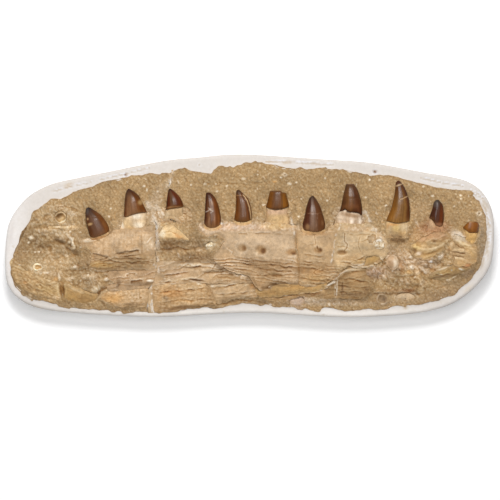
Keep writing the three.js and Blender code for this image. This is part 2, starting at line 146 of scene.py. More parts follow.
def shards(x, y, size, seed, share=0.5):
    """Bent chips, one to a cell at most, turned at random: height from 0 to 1, and a number for each."""
    height = np.zeros_like(x)
    kind = np.ones_like(x)
    for cx, cy in cells_around(x, y, size):
        shift_x, shift_y, longer, turn, wider = [lattice(cx, cy, seed + k) for k in range(5)]
        long = size * (0.14 + 0.34 * longer)
        wide = long * (0.2 + 0.45 * wider)
        c, s = np.cos(turn * 6.3), np.sin(turn * 6.3)
        rel_x, rel_y = x - (cx + shift_x) * size, y - (cy + shift_y) * size
        u = (rel_x * c + rel_y * s) / long
        v = (rel_y * c - rel_x * s) / wide + 0.7 * u * u - 0.2
        chip = np.clip(1.5 * (1 - u * u - v * v), 0, 1) * (lattice(cx, cy, seed + 5) < share)
        higher = chip > height
        height = np.where(higher, chip, height)
        kind = np.where(higher, lattice(cx, cy, seed + 6), kind)
    return height, kind


print("grains along a row:", grains(row, 0 * row, 2.6, 62)[0].round(2).tolist())

# %% [markdown]
# ## Hand tools for relief
# A preparator's marks, a nerve opening or a split layer each have one simple form. These are
# the few tools that carve them: a swelling or pit, a groove or ridge along a line, and a ledge,
# which drops sharply on one side of a line and comes back slowly, as split bone does.
# %% Tools for relief
def turned(x, y, turn):
    """Places measured along and across a direction, which is an angle in degrees."""
    c, s = math.cos(math.radians(turn)), math.sin(math.radians(turn))
    return x * c + y * s, y * c - x * s


def swell(p, x, y, half_x, half_y, rise, turn=0.0, edge=2.0):
    """A rounded rise, or a pit where rise is negative. A high edge number makes its side steep."""
    u, v = turned(p[:, 0] - x, p[:, 1] - y, turn)
    return rise * np.exp(-np.power((u / half_x) ** 2 + (v / half_y) ** 2, edge / 2) * 0.7)


def line_distance(p, line):
    """Distance to a line, which side of it (+1 left, -1 right), and how far along it, 0 to 1."""
    best = np.full(len(p), 1e9)
    side = np.ones(len(p))
    along = np.zeros(len(p))
    line = np.asarray(line, float)
    lengths = np.hypot(*(line[1:] - line[:-1]).T)
    walked = np.concatenate([[0], np.cumsum(lengths)])
    for k in range(len(line) - 1):
        a, b = line[k], line[k + 1]
        d = (b - a) / lengths[k]
        rel = p - a
        t = np.clip(rel @ d, 0, lengths[k])
        away = np.hypot(rel[:, 0] - d[0] * t, rel[:, 1] - d[1] * t)
        nearer = away < best
        best = np.where(nearer, away, best)
        side = np.where(nearer, np.sign(d[0] * rel[:, 1] - d[1] * rel[:, 0]), side)
        along = np.where(nearer, (walked[k] + t) / walked[-1], along)
    return best, side, along


def near_line(p, line, reach):
    """The points inside a line's box, widened by a reach."""
    low, high = np.min(line, axis=0) - reach, np.max(line, axis=0) + reach
    return np.all((p > low) & (p < high), axis=1)


def along_line(p, line, reach, shape):
    """The value of shape(distance, side, along) at the points near a line, and 0 elsewhere."""
    result = np.zeros(len(p))
    near = near_line(p, line, reach)
    if near.any():
        result[near] = shape(*line_distance(p[near], line))
    return result


def wandering(p, by, seed):
    """The places shifted a little this way and that, so that a straight mark looks drawn by hand."""
    return p + by * np.column_stack([noise(*p.T / 3, seed), noise(*p.T / 3, seed + 1)])


def groove(p, line, width, depth, wander=0.0):
    """A groove, or a ridge where depth is negative, that is rounded off at its ends."""
    if wander:
        p = wandering(p, wander, 5)
    return along_line(p, line, width * 3, lambda d, s, t: -depth * np.exp(-(d / width) ** 2))


def ledge(p, line, drop, reach, soft=0.7, fade=0.12):
    """A drop to the right of a line, as wide as soft, which comes back over a reach."""
    x, y = p.T
    uneven = np.clip(0.75 + 0.9 * noise(x / 7, y / 5, 9), 0.15, 1.5)
    sideways = 0.5 * noise(x / 4, y / 4, 7)
    p = p + np.column_stack([sideways, noise(x / 7, y / 6, 8) + 0.5 * noise(x / 2.6, y / 2.6, 10)])

    def shape(d, s, t):
        ends = np.clip(np.minimum(t, 1 - t) / fade, 0, 1)
        step = np.clip(d / soft, 0, 1) * np.exp(-(d / reach) ** 1.5)
        return np.where(s < 0, -drop * step * ends, 0)

    return uneven * along_line(p, line, reach * 2.5, shape)


beside = np.array([(5, -0.8), (5, -3), (5, 1)], float)
print("below, well below and above a ledge:", ledge(beside, [(0, 0), (10, 0)], 2, 3).round(2).tolist())

# %% [markdown]
# ## Reading a solid
# Each packed solid is a plain column with a coarse top. Its outline is the border of its flat
# underside: the edges there that only one face uses, followed from corner to corner.
# %% The outline of a solid
def solid_mesh(node):
    return bpy.data.objects[node].data


def area(ring):
    x, y = ring.T
    return 0.5 * np.sum(x * np.roll(y, -1) - np.roll(x, -1) * y)


def anticlockwise(ring):
    return ring if area(ring) > 0 else ring[::-1].copy()


def outline_of(node):
    """The border of a solid's underside as plan points in millimetres, anticlockwise."""
    mesh = solid_mesh(node)
    places = np.array([v.co[:] for v in mesh.vertices])
    low = places[:, 2].min() + 1e-5
    # corners that share a place are one corner, whichever face they came with
    _, joined = np.unique(np.round(places, 6), axis=0, return_inverse=True)
    joined = joined.ravel()
    edges = set()
    for face in mesh.polygons:
        if all(places[i, 2] < low for i in face.vertices):
            loop = [int(joined[i]) for i in face.vertices]
            edges.update(zip(loop, loop[1:] + loop[:1]))
    step = {a: b for (a, b) in edges if (b, a) not in edges}
    place_of = dict(zip(joined.tolist(), places[:, :2] / MM + PLAN_CENTRE))
    loops = []
    while step:
        start, here = step.popitem()
        loop = [start]
        while here != start and here in step:
            loop.append(here)
            here = step.pop(here)
        loops.append(np.array([place_of[i] for i in loop]))
    return anticlockwise(max(loops, key=lambda ring: abs(area(ring))))


print("corners of the jacket's outline:", len(outline_of("plaster_jacket")))

# %% [markdown]
# ## The broad height of a solid
# The height of a solid is found by dropping a plumb line on its top at many places, then
# smoothing. The fine piece that replaces the solid starts from its outline and this height, so it
# stays where the solid was.
# %% Plumb lines on a solid
# millimetres between two plumb lines
SAMPLE = 2.5


def blur(grid, sigma):
    """Smooths a grid by a bell curve along both ways."""
    reach = int(math.ceil(3 * sigma))
    weights = np.exp(-0.5 * (np.arange(-reach, reach + 1) / sigma) ** 2)
    weights /= weights.sum()
    for axis in (0, 1):
        padded = np.pad(grid, [(reach, reach) if k == axis else (0, 0) for k in (0, 1)], mode="edge")
        grid = np.apply_along_axis(lambda row: np.convolve(row, weights, mode="valid"), axis, padded)
    return grid


def top_of(node, soften=5.0, deepest=12.0):
    """A function that gives a solid's smoothed top, in millimetres, at plan points."""
    mesh = solid_mesh(node)
    tree = BVHTree.FromPolygons([v.co for v in mesh.vertices], [p.vertices for p in mesh.polygons])
    places = np.array([v.co[:] for v in mesh.vertices])
    low, high = places.min(axis=0), places.max(axis=0)
    start = low[:2] / MM + PLAN_CENTRE - 4 * SAMPLE
    counts = np.ceil((high[:2] - low[:2]) / MM / SAMPLE + 8).astype(int)
    heights = np.zeros(counts)
    found = np.zeros(counts)
    for i in range(counts[0]):
        for j in range(counts[1]):
            x, y = (start + SAMPLE * np.array([i, j]) - PLAN_CENTRE) * MM
            hit, normal, _, _ = tree.ray_cast(Vector((x, y, 1.0)), Vector((0, 0, -1)))
            if hit is not None and hit.z > high[2] - deepest * MM and normal.z > 0.5:
                heights[i, j] = hit.z / MM
                found[i, j] = 1.0
    weight = blur(found, soften / SAMPLE)
    smooth = blur(heights, soften / SAMPLE) / np.maximum(weight, 1e-9)
    mean = heights.sum() / found.sum()
    smooth = np.where(weight > 1e-4, smooth, mean)

    def height(p):
        u = np.clip((p - start) / SAMPLE, 0, counts - 1.001)
        i, j = u[:, 0].astype(int), u[:, 1].astype(int)
        a, b = u[:, 0] - i, u[:, 1] - j
        low_side = smooth[i, j] * (1 - a) + smooth[i + 1, j] * a
        high_side = smooth[i, j + 1] * (1 - a) + smooth[i + 1, j + 1] * a
        return low_side * (1 - b) + high_side * b

    return height


on_bone = np.array([(-80.0, -75.0)])
print("height of a lower bone:", top_of("lower_bone_1")(on_bone).round(1)[0], "mm")

# %% [markdown]
# ## Outlines
# A drawn outline has few corners, a fine mesh needs many. One tool walks along an outline in even
# steps and rounds its corners, and the others tell which way is out, what lies inside, and how
# far away the edge is.
# %% Tools for outlines
def resample(ring, spacing, smooth=True, closed=True):
    """Points at even steps along a ring or line, rounded through its corners if smooth."""
    ring = np.asarray(ring, float)
    if smooth:
        if closed:
            before, after, later = np.roll(ring, 1, 0), np.roll(ring, -1, 0), np.roll(ring, -2, 0)
            here = ring
        else:
            here, after = ring[:-1], ring[1:]
            before, later = np.vstack([ring[:1], ring[:-2]]), np.vstack([ring[2:], ring[-1:]])
        t = np.linspace(0, 1, 8, endpoint=False)[:, None, None]
        curve = 0.5 * (
            2 * here
            + (after - before) * t
            + (2 * before - 5 * here + 4 * after - later) * t**2
            + (3 * here - before - 3 * after + later) * t**3
        )
        last = ring[-1:]
        ring = curve.transpose(1, 0, 2).reshape(-1, 2)
        if not closed:
            ring = np.vstack([ring, last])
    path = np.vstack([ring, ring[:1]]) if closed else ring
    walked = np.concatenate([[0], np.cumsum(np.hypot(*np.diff(path, axis=0).T))])
    count = max(8 if closed else 2, int(walked[-1] / spacing))
    at = np.linspace(0, walked[-1], count, endpoint=not closed)
    return np.column_stack([np.interp(at, walked, path[:, k]) for k in (0, 1)])


def outward(ring):
    """Unit vectors that point out of an anticlockwise ring."""
    along = np.roll(ring, -1, 0) - np.roll(ring, 1, 0)
    along /= np.maximum(np.hypot(*along.T), 1e-9)[:, None]
    return np.column_stack([along[:, 1], -along[:, 0]])


def inside(p, ring):
    """Which points lie inside a ring."""
    result = np.zeros(len(p), bool)
    for a, b in zip(ring, np.roll(ring, -1, 0)):
        crosses = (a[1] > p[:, 1]) != (b[1] > p[:, 1])
        if crosses.any():
            at = a[0] + (p[:, 1] - a[1]) / (b[1] - a[1] + 1e-12) * (b[0] - a[0])
            result ^= crosses & (p[:, 0] < at)
    return result


def edge_distance(p, ring):
    """Distance from each point to a ring."""
    best = np.full(len(p), 1e9)
    for a, b in zip(ring, np.roll(ring, -1, 0)):
        d = b - a
        t = np.clip(((p - a) @ d) / max(d @ d, 1e-9), 0, 1)
        best = np.minimum(best, np.hypot(p[:, 0] - a[0] - d[0] * t, p[:, 1] - a[1] - d[1] * t))
    return best


square = np.array([(0, 0), (8, 0), (8, 8), (0, 8)], float)
print("from the middle of a square to its edge:", edge_distance(np.array([(4.0, 4.0)]), square)[0])

# %% [markdown]
# ## Filling an outline with a fine mesh
# A piece seen from above is an outline full of small triangles, which then rise to its relief.
# Points sit on a jittered grid, and Blender's constrained Delaunay triangulation joins them to
# the outline, so broken edges stay crisp. A displaced grid would be quicker to write, but its
# steps would show along every broken edge.
# %% A filled outline
# rows of an even triangle pattern lie this much closer than its points, and a point may stray so far
ROW_STEP, JITTER = 0.87, 0.45


def fill(rings, spacing, seed):
    """Points and triangles between rings; the rings' own points come first, in their order."""
    outer = rings[0]
    low, high = outer.min(axis=0), outer.max(axis=0)
    xs = np.arange(low[0], high[0], spacing)
    ys = np.arange(low[1], high[1], spacing * ROW_STEP)
    gx, gy = np.meshgrid(xs, ys)
    gx = gx + (np.arange(len(ys)) % 2)[:, None] * spacing / 2
    p = np.column_stack([gx.ravel(), gy.ravel()])
    cell = np.round(p / spacing * 2)
    jitter = np.column_stack([lattice(cell[:, 0], cell[:, 1], seed + k) - 0.5 for k in (0, 1)])
    p = p + jitter * spacing * JITTER
    p = p[inside(p, outer)]
    for hole in rings[1:]:
        p = p[~inside(p, hole)]
    for ring in rings:
        p = p[edge_distance(p, ring) > spacing * 0.5]
    sides = []
    start = 0
    for ring in rings:
        count = len(ring)
        sides += [(start + i, start + (i + 1) % count) for i in range(count)]
        start += count
    points = np.vstack(rings + [p])
    made = delaunay_2d_cdt([Vector(q) for q in points], sides, [], 1, 1e-6)
    flat = np.array([v[:] for v in made[0]])
    faces = np.array(made[2])
    middles = flat[faces].mean(axis=1)
    keep = inside(middles, outer)
    for hole in rings[1:]:
        keep &= ~inside(middles, hole)
    first = {}
    for index, sources in enumerate(made[3]):
        for source in sources:
            first[source] = index
    borders = []
    start = 0
    for ring in rings:
        border = [first[start + i] for i in range(len(ring)) if start + i in first]
        borders.append([b for b, before in zip(border, [border[-1]] + border[:-1]) if b != before])
        start += len(ring)
    return flat, faces[keep], borders


print("triangles that fill a small square:", len(fill([square], 2.0, 1)[1]))

# %% [markdown]
# ## Closed bodies
# A museum scan of a slab is a closed body, and so is each piece here: a modelled top, a broken
# wall around it, and an underside. This small class collects the rings of a body one after the
# other. It sets face directions at the end, so the order of the points never matters.
# %% A body made of rings
# edges of broken stone that bend more than this many degrees catch the light, but enamel has none
BROKEN_EDGE = 50


def put(name, data):
    """Makes an object of some data and puts it in the scene."""
    thing = bpy.data.objects.new(name, data)
    bpy.context.collection.objects.link(thing)
    return thing


class Body:
    """Collects the points, faces and colours of one closed body."""

    def __init__(self):
        self.places, self.faces, self.shades = [], [], []
        self.count = 0

    def add(self, points, heights, shades):
        """Adds points in millimetres and gives their numbers."""
        self.places.append(to_frame(points, heights))
        self.shades.append(shades)
        numbers = np.arange(self.count, self.count + len(points))
        self.count += len(points)
        return numbers

    def top(self, flat, faces, heights, shades):
        """Adds the modelled top with its triangles."""
        self.add(flat, heights, shades)
        self.faces += faces.tolist()

    def band(self, before, after):
        """Joins two closed rings of the same length with a band of faces."""
        one, two = np.roll(before, -1), np.roll(after, -1)
        self.faces += np.column_stack([before, after, two, one]).tolist()

    def lid(self, numbers):
        """Closes a flat ring with triangles."""
        ring = np.vstack(self.places)[numbers]
        count = len(numbers)
        sides = [(i, (i + 1) % count) for i in range(count)]
        made = delaunay_2d_cdt([Vector(q) for q in ring[:, :2] / MM], sides, [], 1, 1e-6)
        known = [numbers[source[0]] if source else None for source in made[3]]
        shade = np.vstack(self.shades)[numbers[:1]]
        for index, number in enumerate(known):
            if number is None:
                crossing = np.array([made[0][index][:]]) + PLAN_CENTRE
                known[index] = self.add(crossing, [ring[0, 2] / MM], shade)[0]
        self.faces += [[int(known[i]) for i in face] for face in made[2]]

    def wall(self, border, rings):
        """Goes down from a border of the top, by rings of points, heights and shades, to a flat lid."""
        previous = np.array(border)
        for points, heights, shades in rings:
            numbers = self.add(points, heights, shades)
            self.band(previous, numbers)
            previous = numbers
        self.lid(previous)

    def build(self, name, finish, slot, *nodes):
        """Makes the object, gives it a finish and says which solids it stands for."""
        mesh = bpy.data.meshes.new(name)
        mesh.from_pydata(np.vstack(self.places).tolist(), [], [list(f) for f in self.faces])
        shades = np.clip(np.vstack(self.shades), 0, 1)
        layer = mesh.color_attributes.new("paint", "FLOAT_COLOR", "POINT")
        layer.data.foreach_set("color", np.column_stack([shades, np.ones(len(shades))]).ravel())
        tidy = bmesh.new()
        tidy.from_mesh(mesh)
        bmesh.ops.recalc_face_normals(tidy, faces=tidy.faces)
        tidy.to_mesh(mesh)
        tidy.free()
        mesh.polygons.foreach_set("use_smooth", [True] * len(mesh.polygons))
        if slot != "tooth":
            mesh.set_sharp_from_angle(angle=math.radians(BROKEN_EDGE))
        mesh.materials.append(finish)
        piece = put(name, mesh)
        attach(piece, "root")
        if nodes:
            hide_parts(*nodes)
        print(name, "has", len(mesh.polygons), "faces")
        return piece


print("what a body can do:", [name for name in vars(Body) if name[0] != "_"])

# %% [markdown]
# ## Colour that belongs to a place
# Fossil bone is stained in patches: cream where it is fresh, orange where iron has settled, dark
# in every hollow, partly with dust and glue and partly with painted shade, and its high places get
# a little painted light. Each mesh point gets its own colour from a base, a short list of ragged
# stains, some of which are painted shadow and light, and the depth of the point below its
# surroundings. A node texture alone couldn't put a stain at a place, and a painted picture would
# need a file.
# %% Colour tools
# millimetres to the places that tell whether a point lies in a hollow
HOLLOW_REACH = 2.2


def linear(rgb):
    """A screen colour from 0 to 255 as the linear light that a shader works with."""
    c = np.asarray(rgb, float) / 255
    return np.where(c <= 0.04045, c / 12.92, ((c + 0.055) / 1.055) ** 2.4)


def lay(colour, tone, share):
    """Lays a screen colour over point colours, by a share for each point."""
    return colour + (linear(tone) - colour) * share[:, None]


def lay_ovals(colour, p, stains_and_painted_light, seed, ragged=1.6):
    """Lays ragged ovals (x, y, half_x, half_y, turn, rgb, strength): stains, painted shadow and light."""
    x, y = p.T
    x = x + ragged * rough(x, y, 7, seed + 50, 3)
    y = y + ragged * rough(p[:, 0], y, 7, seed + 60, 3)
    for sx, sy, half_x, half_y, turn, rgb, strength in stains_and_painted_light:
        u, v = turned(x - sx, y - sy, turn)
        colour = lay(colour, rgb, strength * np.exp(-(((u / half_x) ** 2 + (v / half_y) ** 2) ** 1.6) * 0.7))
    return colour


def hollowness(p, relief, reach=HOLLOW_REACH):
    """How far each point lies below the relief around it, in millimetres."""
    turns = np.arange(6) * math.pi / 3
    around = sum(relief(p + reach * np.array([math.cos(a), math.sin(a)])) for a in turns) / 6
    return around - relief(p)


def mottle(p, seed, broad, fine):
    """A shade near 1 with broad clouds and fine grain."""
    x, y = p.T
    clouds = broad * rough(x, y, 16, seed, 4)
    grain = fine * rough(x, y, 2.6, seed + 5, 2)
    return (1 + clouds + grain)[:, None]


def mottle_dust_and_painted_light(colour, p, relief, seed, broad, fine, gloom):
    """Mottles a colour; dust and painted shade brown its hollows, painted light brightens high places."""
    deep = hollowness(p, relief) + 1.5 * hollowness(p, relief, 1.2)
    # painted shade in the hollows and painted light on the high places
    dark = np.clip(gloom * deep, -0.25, 1.0)[:, None]
    brown = np.exp(-dark * np.array([0.85, 1.25, 1.9]))
    return colour * mottle(p, seed, broad, fine) * brown


print("cream bone in linear light:", linear((226, 202, 168)).round(3).tolist())

# %% [markdown]
# ## Split layers
# The jaw's bone is laminated, like the grain of wood, and its weathered face shows many small
# terraces that all run one way. A saw-tooth across the grain, with an uneven width and a height
# that comes and goes along it, gives such terraces.
# %% Terraces of split bone
def terraces(p, turn, width, seed, wander):
    """Which terrace a point is on, how far up it the point is from 0 to 1, and its place along."""
    along, across = turned(*p.T, turn)
    across = across + wander * width * 0.9 * rough(along, across, 22, seed, 4)
    waves = 0.75 * noise(along / 7.5, across / 6, seed + 3) + 0.35 * noise(along / 3.2, across / 3, seed + 4)
    across = across + waves
    lenses = 0.9 * noise(along / 38, across / width / 2.0, seed + 7)
    lenses += 0.4 * noise(along / 13, across / width / 1.1, seed + 8)
    q = 0.62 * across / width + lenses
    return np.floor(q), q - np.floor(q), along


def split_share(p, seed):
    """How strongly the bone is split at a place: some of it is whole and smooth."""
    return np.clip(0.62 + 1.0 * rough(p[:, 0], p[:, 1] * 1.6, 26, seed + 19, 3), 0.12, 1)


def layers(p, turn, width, depth, seed, wander=1.0):
    """Terraces that run along an angle and drop towards their lower side."""
    step, saw, along = terraces(p, turn, width, seed, wander)
    height = 0.5 + 0.5 * noise(along / 11, step * 3.7, seed + 11)
    return depth * height * (0.5 - saw) * split_share(p, seed)


def layer_tone_and_shade(p, turn, width, seed, wander=1.0, strength=1.0):
    """A colour factor: each terrace's tone, a painted highlight on its lip, painted shadow under the next
    lip.
    """
    step, saw, along = terraces(p, turn, width, seed, wander)
    shade = 0.14 * noise(along / 20, step * 2.3, seed + 13)
    # painted highlight on the lip of each terrace
    lip = 0.12 * np.exp(-saw / 0.25)
    broken = np.clip(0.35 + 1.1 * noise(along / 9, step * 5.1, seed + 17), 0, 1)
    # painted shadow under the lip of the next terrace
    line = 0.42 * broken * np.exp(-(1 - saw) / 0.16)
    tone = np.clip(1 + strength * split_share(p, seed) * (shade + lip - line), 0.3, 1.3)
    return tone[:, None] ** np.array([0.72, 1.08, 1.6])


def within(p, x, y, half_x, half_y, turn=0.0):
    """A soft mask that is 1 inside an oval and 0 outside."""
    return swell(p, x, y, half_x, half_y, 1.0, turn, 5.0)


some = np.array([(0.0, 0.0), (0.0, 2.0), (0.0, 4.0)])
print("terrace heights across the grain:", layers(some, 0, 3.0, 1.5, 202).round(2).tolist())

# %% [markdown]
# ## Filled cracks
# A preparator filled the cracks of the jaw with white plaster. The fillings cross bone and rock
# alike, so one list of lines serves every piece: each piece turns white where a line crosses it,
# and a little higher.
# %% Cracks filled with plaster
SEAM_WHITE = (234, 222, 204)
# line, width and strength of each filled crack
SEAMS = [
    ([(138, 30), (141, 24), (144, 17), (147, 11), (151, 5), (156, -2), (160, -7), (164, -14)], 1.3, 1.0),
    ([(47.4, 28), (49, 22), (51, 14), (53, 6), (54, 1)], 1.2, 0.9),
    ([(136, 27), (140, 20), (146, 14)], 1.6, 0.6),
    ([(109, 12), (106, 6), (103, 0), (101.6, -8), (101, -16), (99.6, -24), (98, -33)], 0.8, 0.9),
    ([(86, -64), (94, -60), (100, -56), (106, -50), (111, -45.6), (117, -42), (123, -39)], 0.7, 0.6),
    ([(-122, 38), (-119, 28), (-115, 18), (-112, 8)], 3.2, 0.55),
    ([(-112, 34), (-106, 27), (-101, 20)], 2.4, 0.7),
    ([(-114, 22), (-110, 10), (-109.6, -4), (-110, -16)], 3.4, 0.8),
    ([(-109, -20), (-110, -32), (-109, -44)], 1.6, 0.6), ([(96, -62), (90, -65), (84, -66)], 0.8, 0.6),
    ([(145, 6), (152, 4), (158, 0)], 0.8, 0.7), ([(198, 18), (202, 12), (206, 7)], 0.9, 0.6),
    ([(-20, 9), (-8, 7), (4, 9)], 1.6, 0.4),
]


def seam_share(p):
    """How white the filled cracks make each place: they are ragged and broken."""
    ragged = np.clip(0.5 + 1.7 * rough(*p.T, 3.4, 403, 3), 0, 1)
    p = wandering(p, 0.9, 404)
    share = np.zeros(len(p))
    for line, width, strength in SEAMS:
        share = np.maximum(share, groove(p, line, width, -strength))
    return share * ragged


def fill_seams(p, colour):
    """Whitens a colour where the filled cracks run."""
    return lay(colour, SEAM_WHITE, 0.85 * seam_share(p))


print("filled cracks:", len(SEAMS))

# %% [markdown]
# ## Finishes
# One recipe serves every stony surface: the point colours, broken up by a noise finer than the
# mesh, a roughness that wanders with the same noise, and a bump for the smallest pores. What
# differs from bone to rock to plaster is only the size and strength of that noise. The pattern
# uses object coordinates, so its scale is real: the size below is in millimetres.
# %% A stony finish
def set_inputs(node, **values):
    """Sets a node's inputs by their names, with _ for a space."""
    for name, value in values.items():
        node.inputs[name.replace("_", " ")].default_value = value
    return node


def add_node(finish, kind, **values):
    return set_inputs(finish.node_tree.nodes.new("ShaderNode" + kind), **values)


def new_finish(name):
    """A new material, its shader and the call that joins two sockets."""
    finish = bpy.data.materials.new(name)
    finish.use_nodes = True
    return finish, finish.node_tree.nodes["Principled BSDF"], finish.node_tree.links.new


def stony(name, size, contrast, roughness, bump, flecks=0.0):
    """A matt surface; contrast is the range of the fine noise, bump the depth in millimetres."""
    finish, shader, join = new_finish(name)
    place = add_node(finish, "TexCoord")
    grain = add_node(finish, "TexNoise", Scale=1000 / size, Detail=5, Roughness=0.65)
    join(place.outputs["Object"], grain.inputs["Vector"])
    shade = add_node(finish, "MapRange", From_Min=0.3, From_Max=0.7, To_Min=1 - contrast, To_Max=1 + contrast)
    join(grain.outputs["Fac"], shade.inputs["Value"])
    factors = [shade]
    if flecks:
        spots = add_node(finish, "TexVoronoi", Scale=1000 / (size * 2.2))
        join(place.outputs["Object"], spots.inputs["Vector"])
        ring = add_node(finish, "MapRange", From_Min=0.12, From_Max=0.3, To_Min=1 - flecks, To_Max=1.0)
        join(spots.outputs["Distance"], ring.inputs["Value"])
        factors.append(ring)
    paint = add_node(finish, "VertexColor")
    paint.layer_name = "paint"
    colour = paint.outputs["Color"]
    for factor in factors:
        dim = add_node(finish, "VectorMath")
        dim.operation = "SCALE"
        join(colour, dim.inputs[0])
        join(factor.outputs["Result"], dim.inputs["Scale"])
        colour = dim.outputs["Vector"]
    join(colour, shader.inputs["Base Color"])
    polish = add_node(finish, "MapRange", To_Min=roughness[0], To_Max=roughness[1])
    join(grain.outputs["Fac"], polish.inputs["Value"])
    join(polish.outputs["Result"], shader.inputs["Roughness"])
    pores = add_node(finish, "Bump", Strength=0.7, Distance=bump * MM)
    join(grain.outputs["Fac"], pores.inputs["Height"])
    join(pores.outputs["Normal"], shader.inputs["Normal"])
    set_inputs(shader, Specular_IOR_Level=0.3)
    return finish


ROCK = stony("sandy phosphate rock", 1.2, 0.3, (0.82, 0.98), 0.6, flecks=0.15)
BONE = stony("fossil bone", 1.4, 0.18, (0.55, 0.85), 0.3)
SPLIT_BONE = stony("split fossil bone", 0.9, 0.25, (0.6, 0.9), 0.45)
PLASTER = stony("jacket plaster", 3.0, 0.035, (0.7, 0.95), 0.2)
FILLER = stony("filled break", 1.2, 0.12, (0.6, 0.9), 0.3)
SHELL = stony("pale shell", 0.8, 0.12, (0.45, 0.8), 0.2)
print("stony finishes:", len(bpy.data.materials))

# %% [markdown]
# ## Enamel
# The crowns are brown, glassy enamel. The stony finish serves them too, with a low roughness, hardly
# any pores and a thin clear coat, so the lamp above gives each crown its long gleam.
# %% Enamel finish
ENAMEL = stony("brown enamel", 0.7, 0.12, (0.26, 0.42), 0.05)
glaze = ENAMEL.node_tree.nodes["Principled BSDF"]
set_inputs(glaze, Specular_IOR_Level=0.2, Coat_Weight=0.05, Coat_Roughness=0.16)
print("enamel:", ENAMEL.name)

# %% [markdown]
# ## Dressing a solid
# Every bone, chip and shell is made the same way. Its solid gives the outline and the broad
# height, the ragged edge and the carving come on top, and the walls lean out a little towards the
# rock, where they end below its surface.
# %% From a solid to a dressed stone
# outline, top, bank and colour of each piece that lies in the rock
BEDS = []
DUST = (168, 138, 100)
# how far down its wall each ring of a stone lies
WALL_SHARES = (0.25, 0.6, 1.0)


def dress(node, relief, base, stains_and_painted_light=(), spacing=0.85, grow=0.7, ragged=1.3, rounding=(1.0, 1.4), seed=1,
          finish=None, slot="bone", soften=4.0, look=(0.27, 0.24, 0.56), lift=0.0, floor=33.0,
          bank=(0.9, 0.45), tone_and_shade=None):
    """Makes the fine piece that stands for a solid; bank is the step and slope of the rock beside it."""
    ring = anticlockwise(resample(outline_of(node), spacing))
    wobble = rough(*ring.T, 7, seed, 4)
    ring = resample(ring + outward(ring) * (grow + ragged * wobble)[:, None], spacing, smooth=False)
    flat, faces, (border,) = fill([ring], spacing, seed)
    away = edge_distance(flat, ring)
    top = top_of(node, soften)
    BEDS.append((ring, lambda p: top(p) + lift, bank, linear(base)))
    seam = seam_share(flat)
    worn = rounding[0] * np.exp(-((away / rounding[1]) ** 2)) * (1 - seam)
    heights = top(flat) + lift + relief(flat) + 0.5 * seam - worn
    heights = tooth_clearance(flat, heights, slope=1.6)
    colour = np.tile(linear(base), (len(flat), 1))
    colour = lay_ovals(colour, flat, stains_and_painted_light, seed)
    # painted shade in the hollows and painted light on the high places
    colour = mottle_dust_and_painted_light(colour, flat, relief, seed, *look)
    # the terraces' own tones, with painted highlights on their lips and painted shadow under them
    if tone_and_shade:
        colour = colour * tone_and_shade(flat)
    colour = fill_seams(flat, colour)
    pores, kind = grains(*flat.T, 4.2, seed + 9)
    colour = colour * (1 - 0.16 * np.clip(pores * 3 - 0.6, 0, 1) * (kind < 0.12))[:, None]
    dusty = np.exp(-((away / 2.0) ** 2)) * np.clip(0.25 + 1.1 * rough(*flat.T, 4, seed + 8, 3), 0, 1)
    colour = lay(colour, DUST, dusty)
    rim, rim_z, rim_colour = flat[border], heights[border], colour[border]
    rings = []
    for level, share in enumerate(WALL_SHARES, 1):
        lean = 0.5 * share * (1 + rough(rim[:, 0], rim[:, 1] + 9 * level, 4, seed))[:, None]
        ring_z = rim_z + (floor - rim_z) * share
        # each ring down the wall is painted a little darker, as painted shade
        rings.append((rim + outward(rim) * lean, ring_z, rim_colour * (0.96 - 0.1 * level)))
    body = Body()
    body.top(flat, faces, heights, colour)
    body.wall(border, rings)
    return body.build(node + "_stone", finish or BONE, slot, node)


def plain(p):
    """No carving, only a little unevenness."""
    return 0.25 * rough(*p.T, 5, 3, 3)


print("stones dressed so far:", len(BEDS))
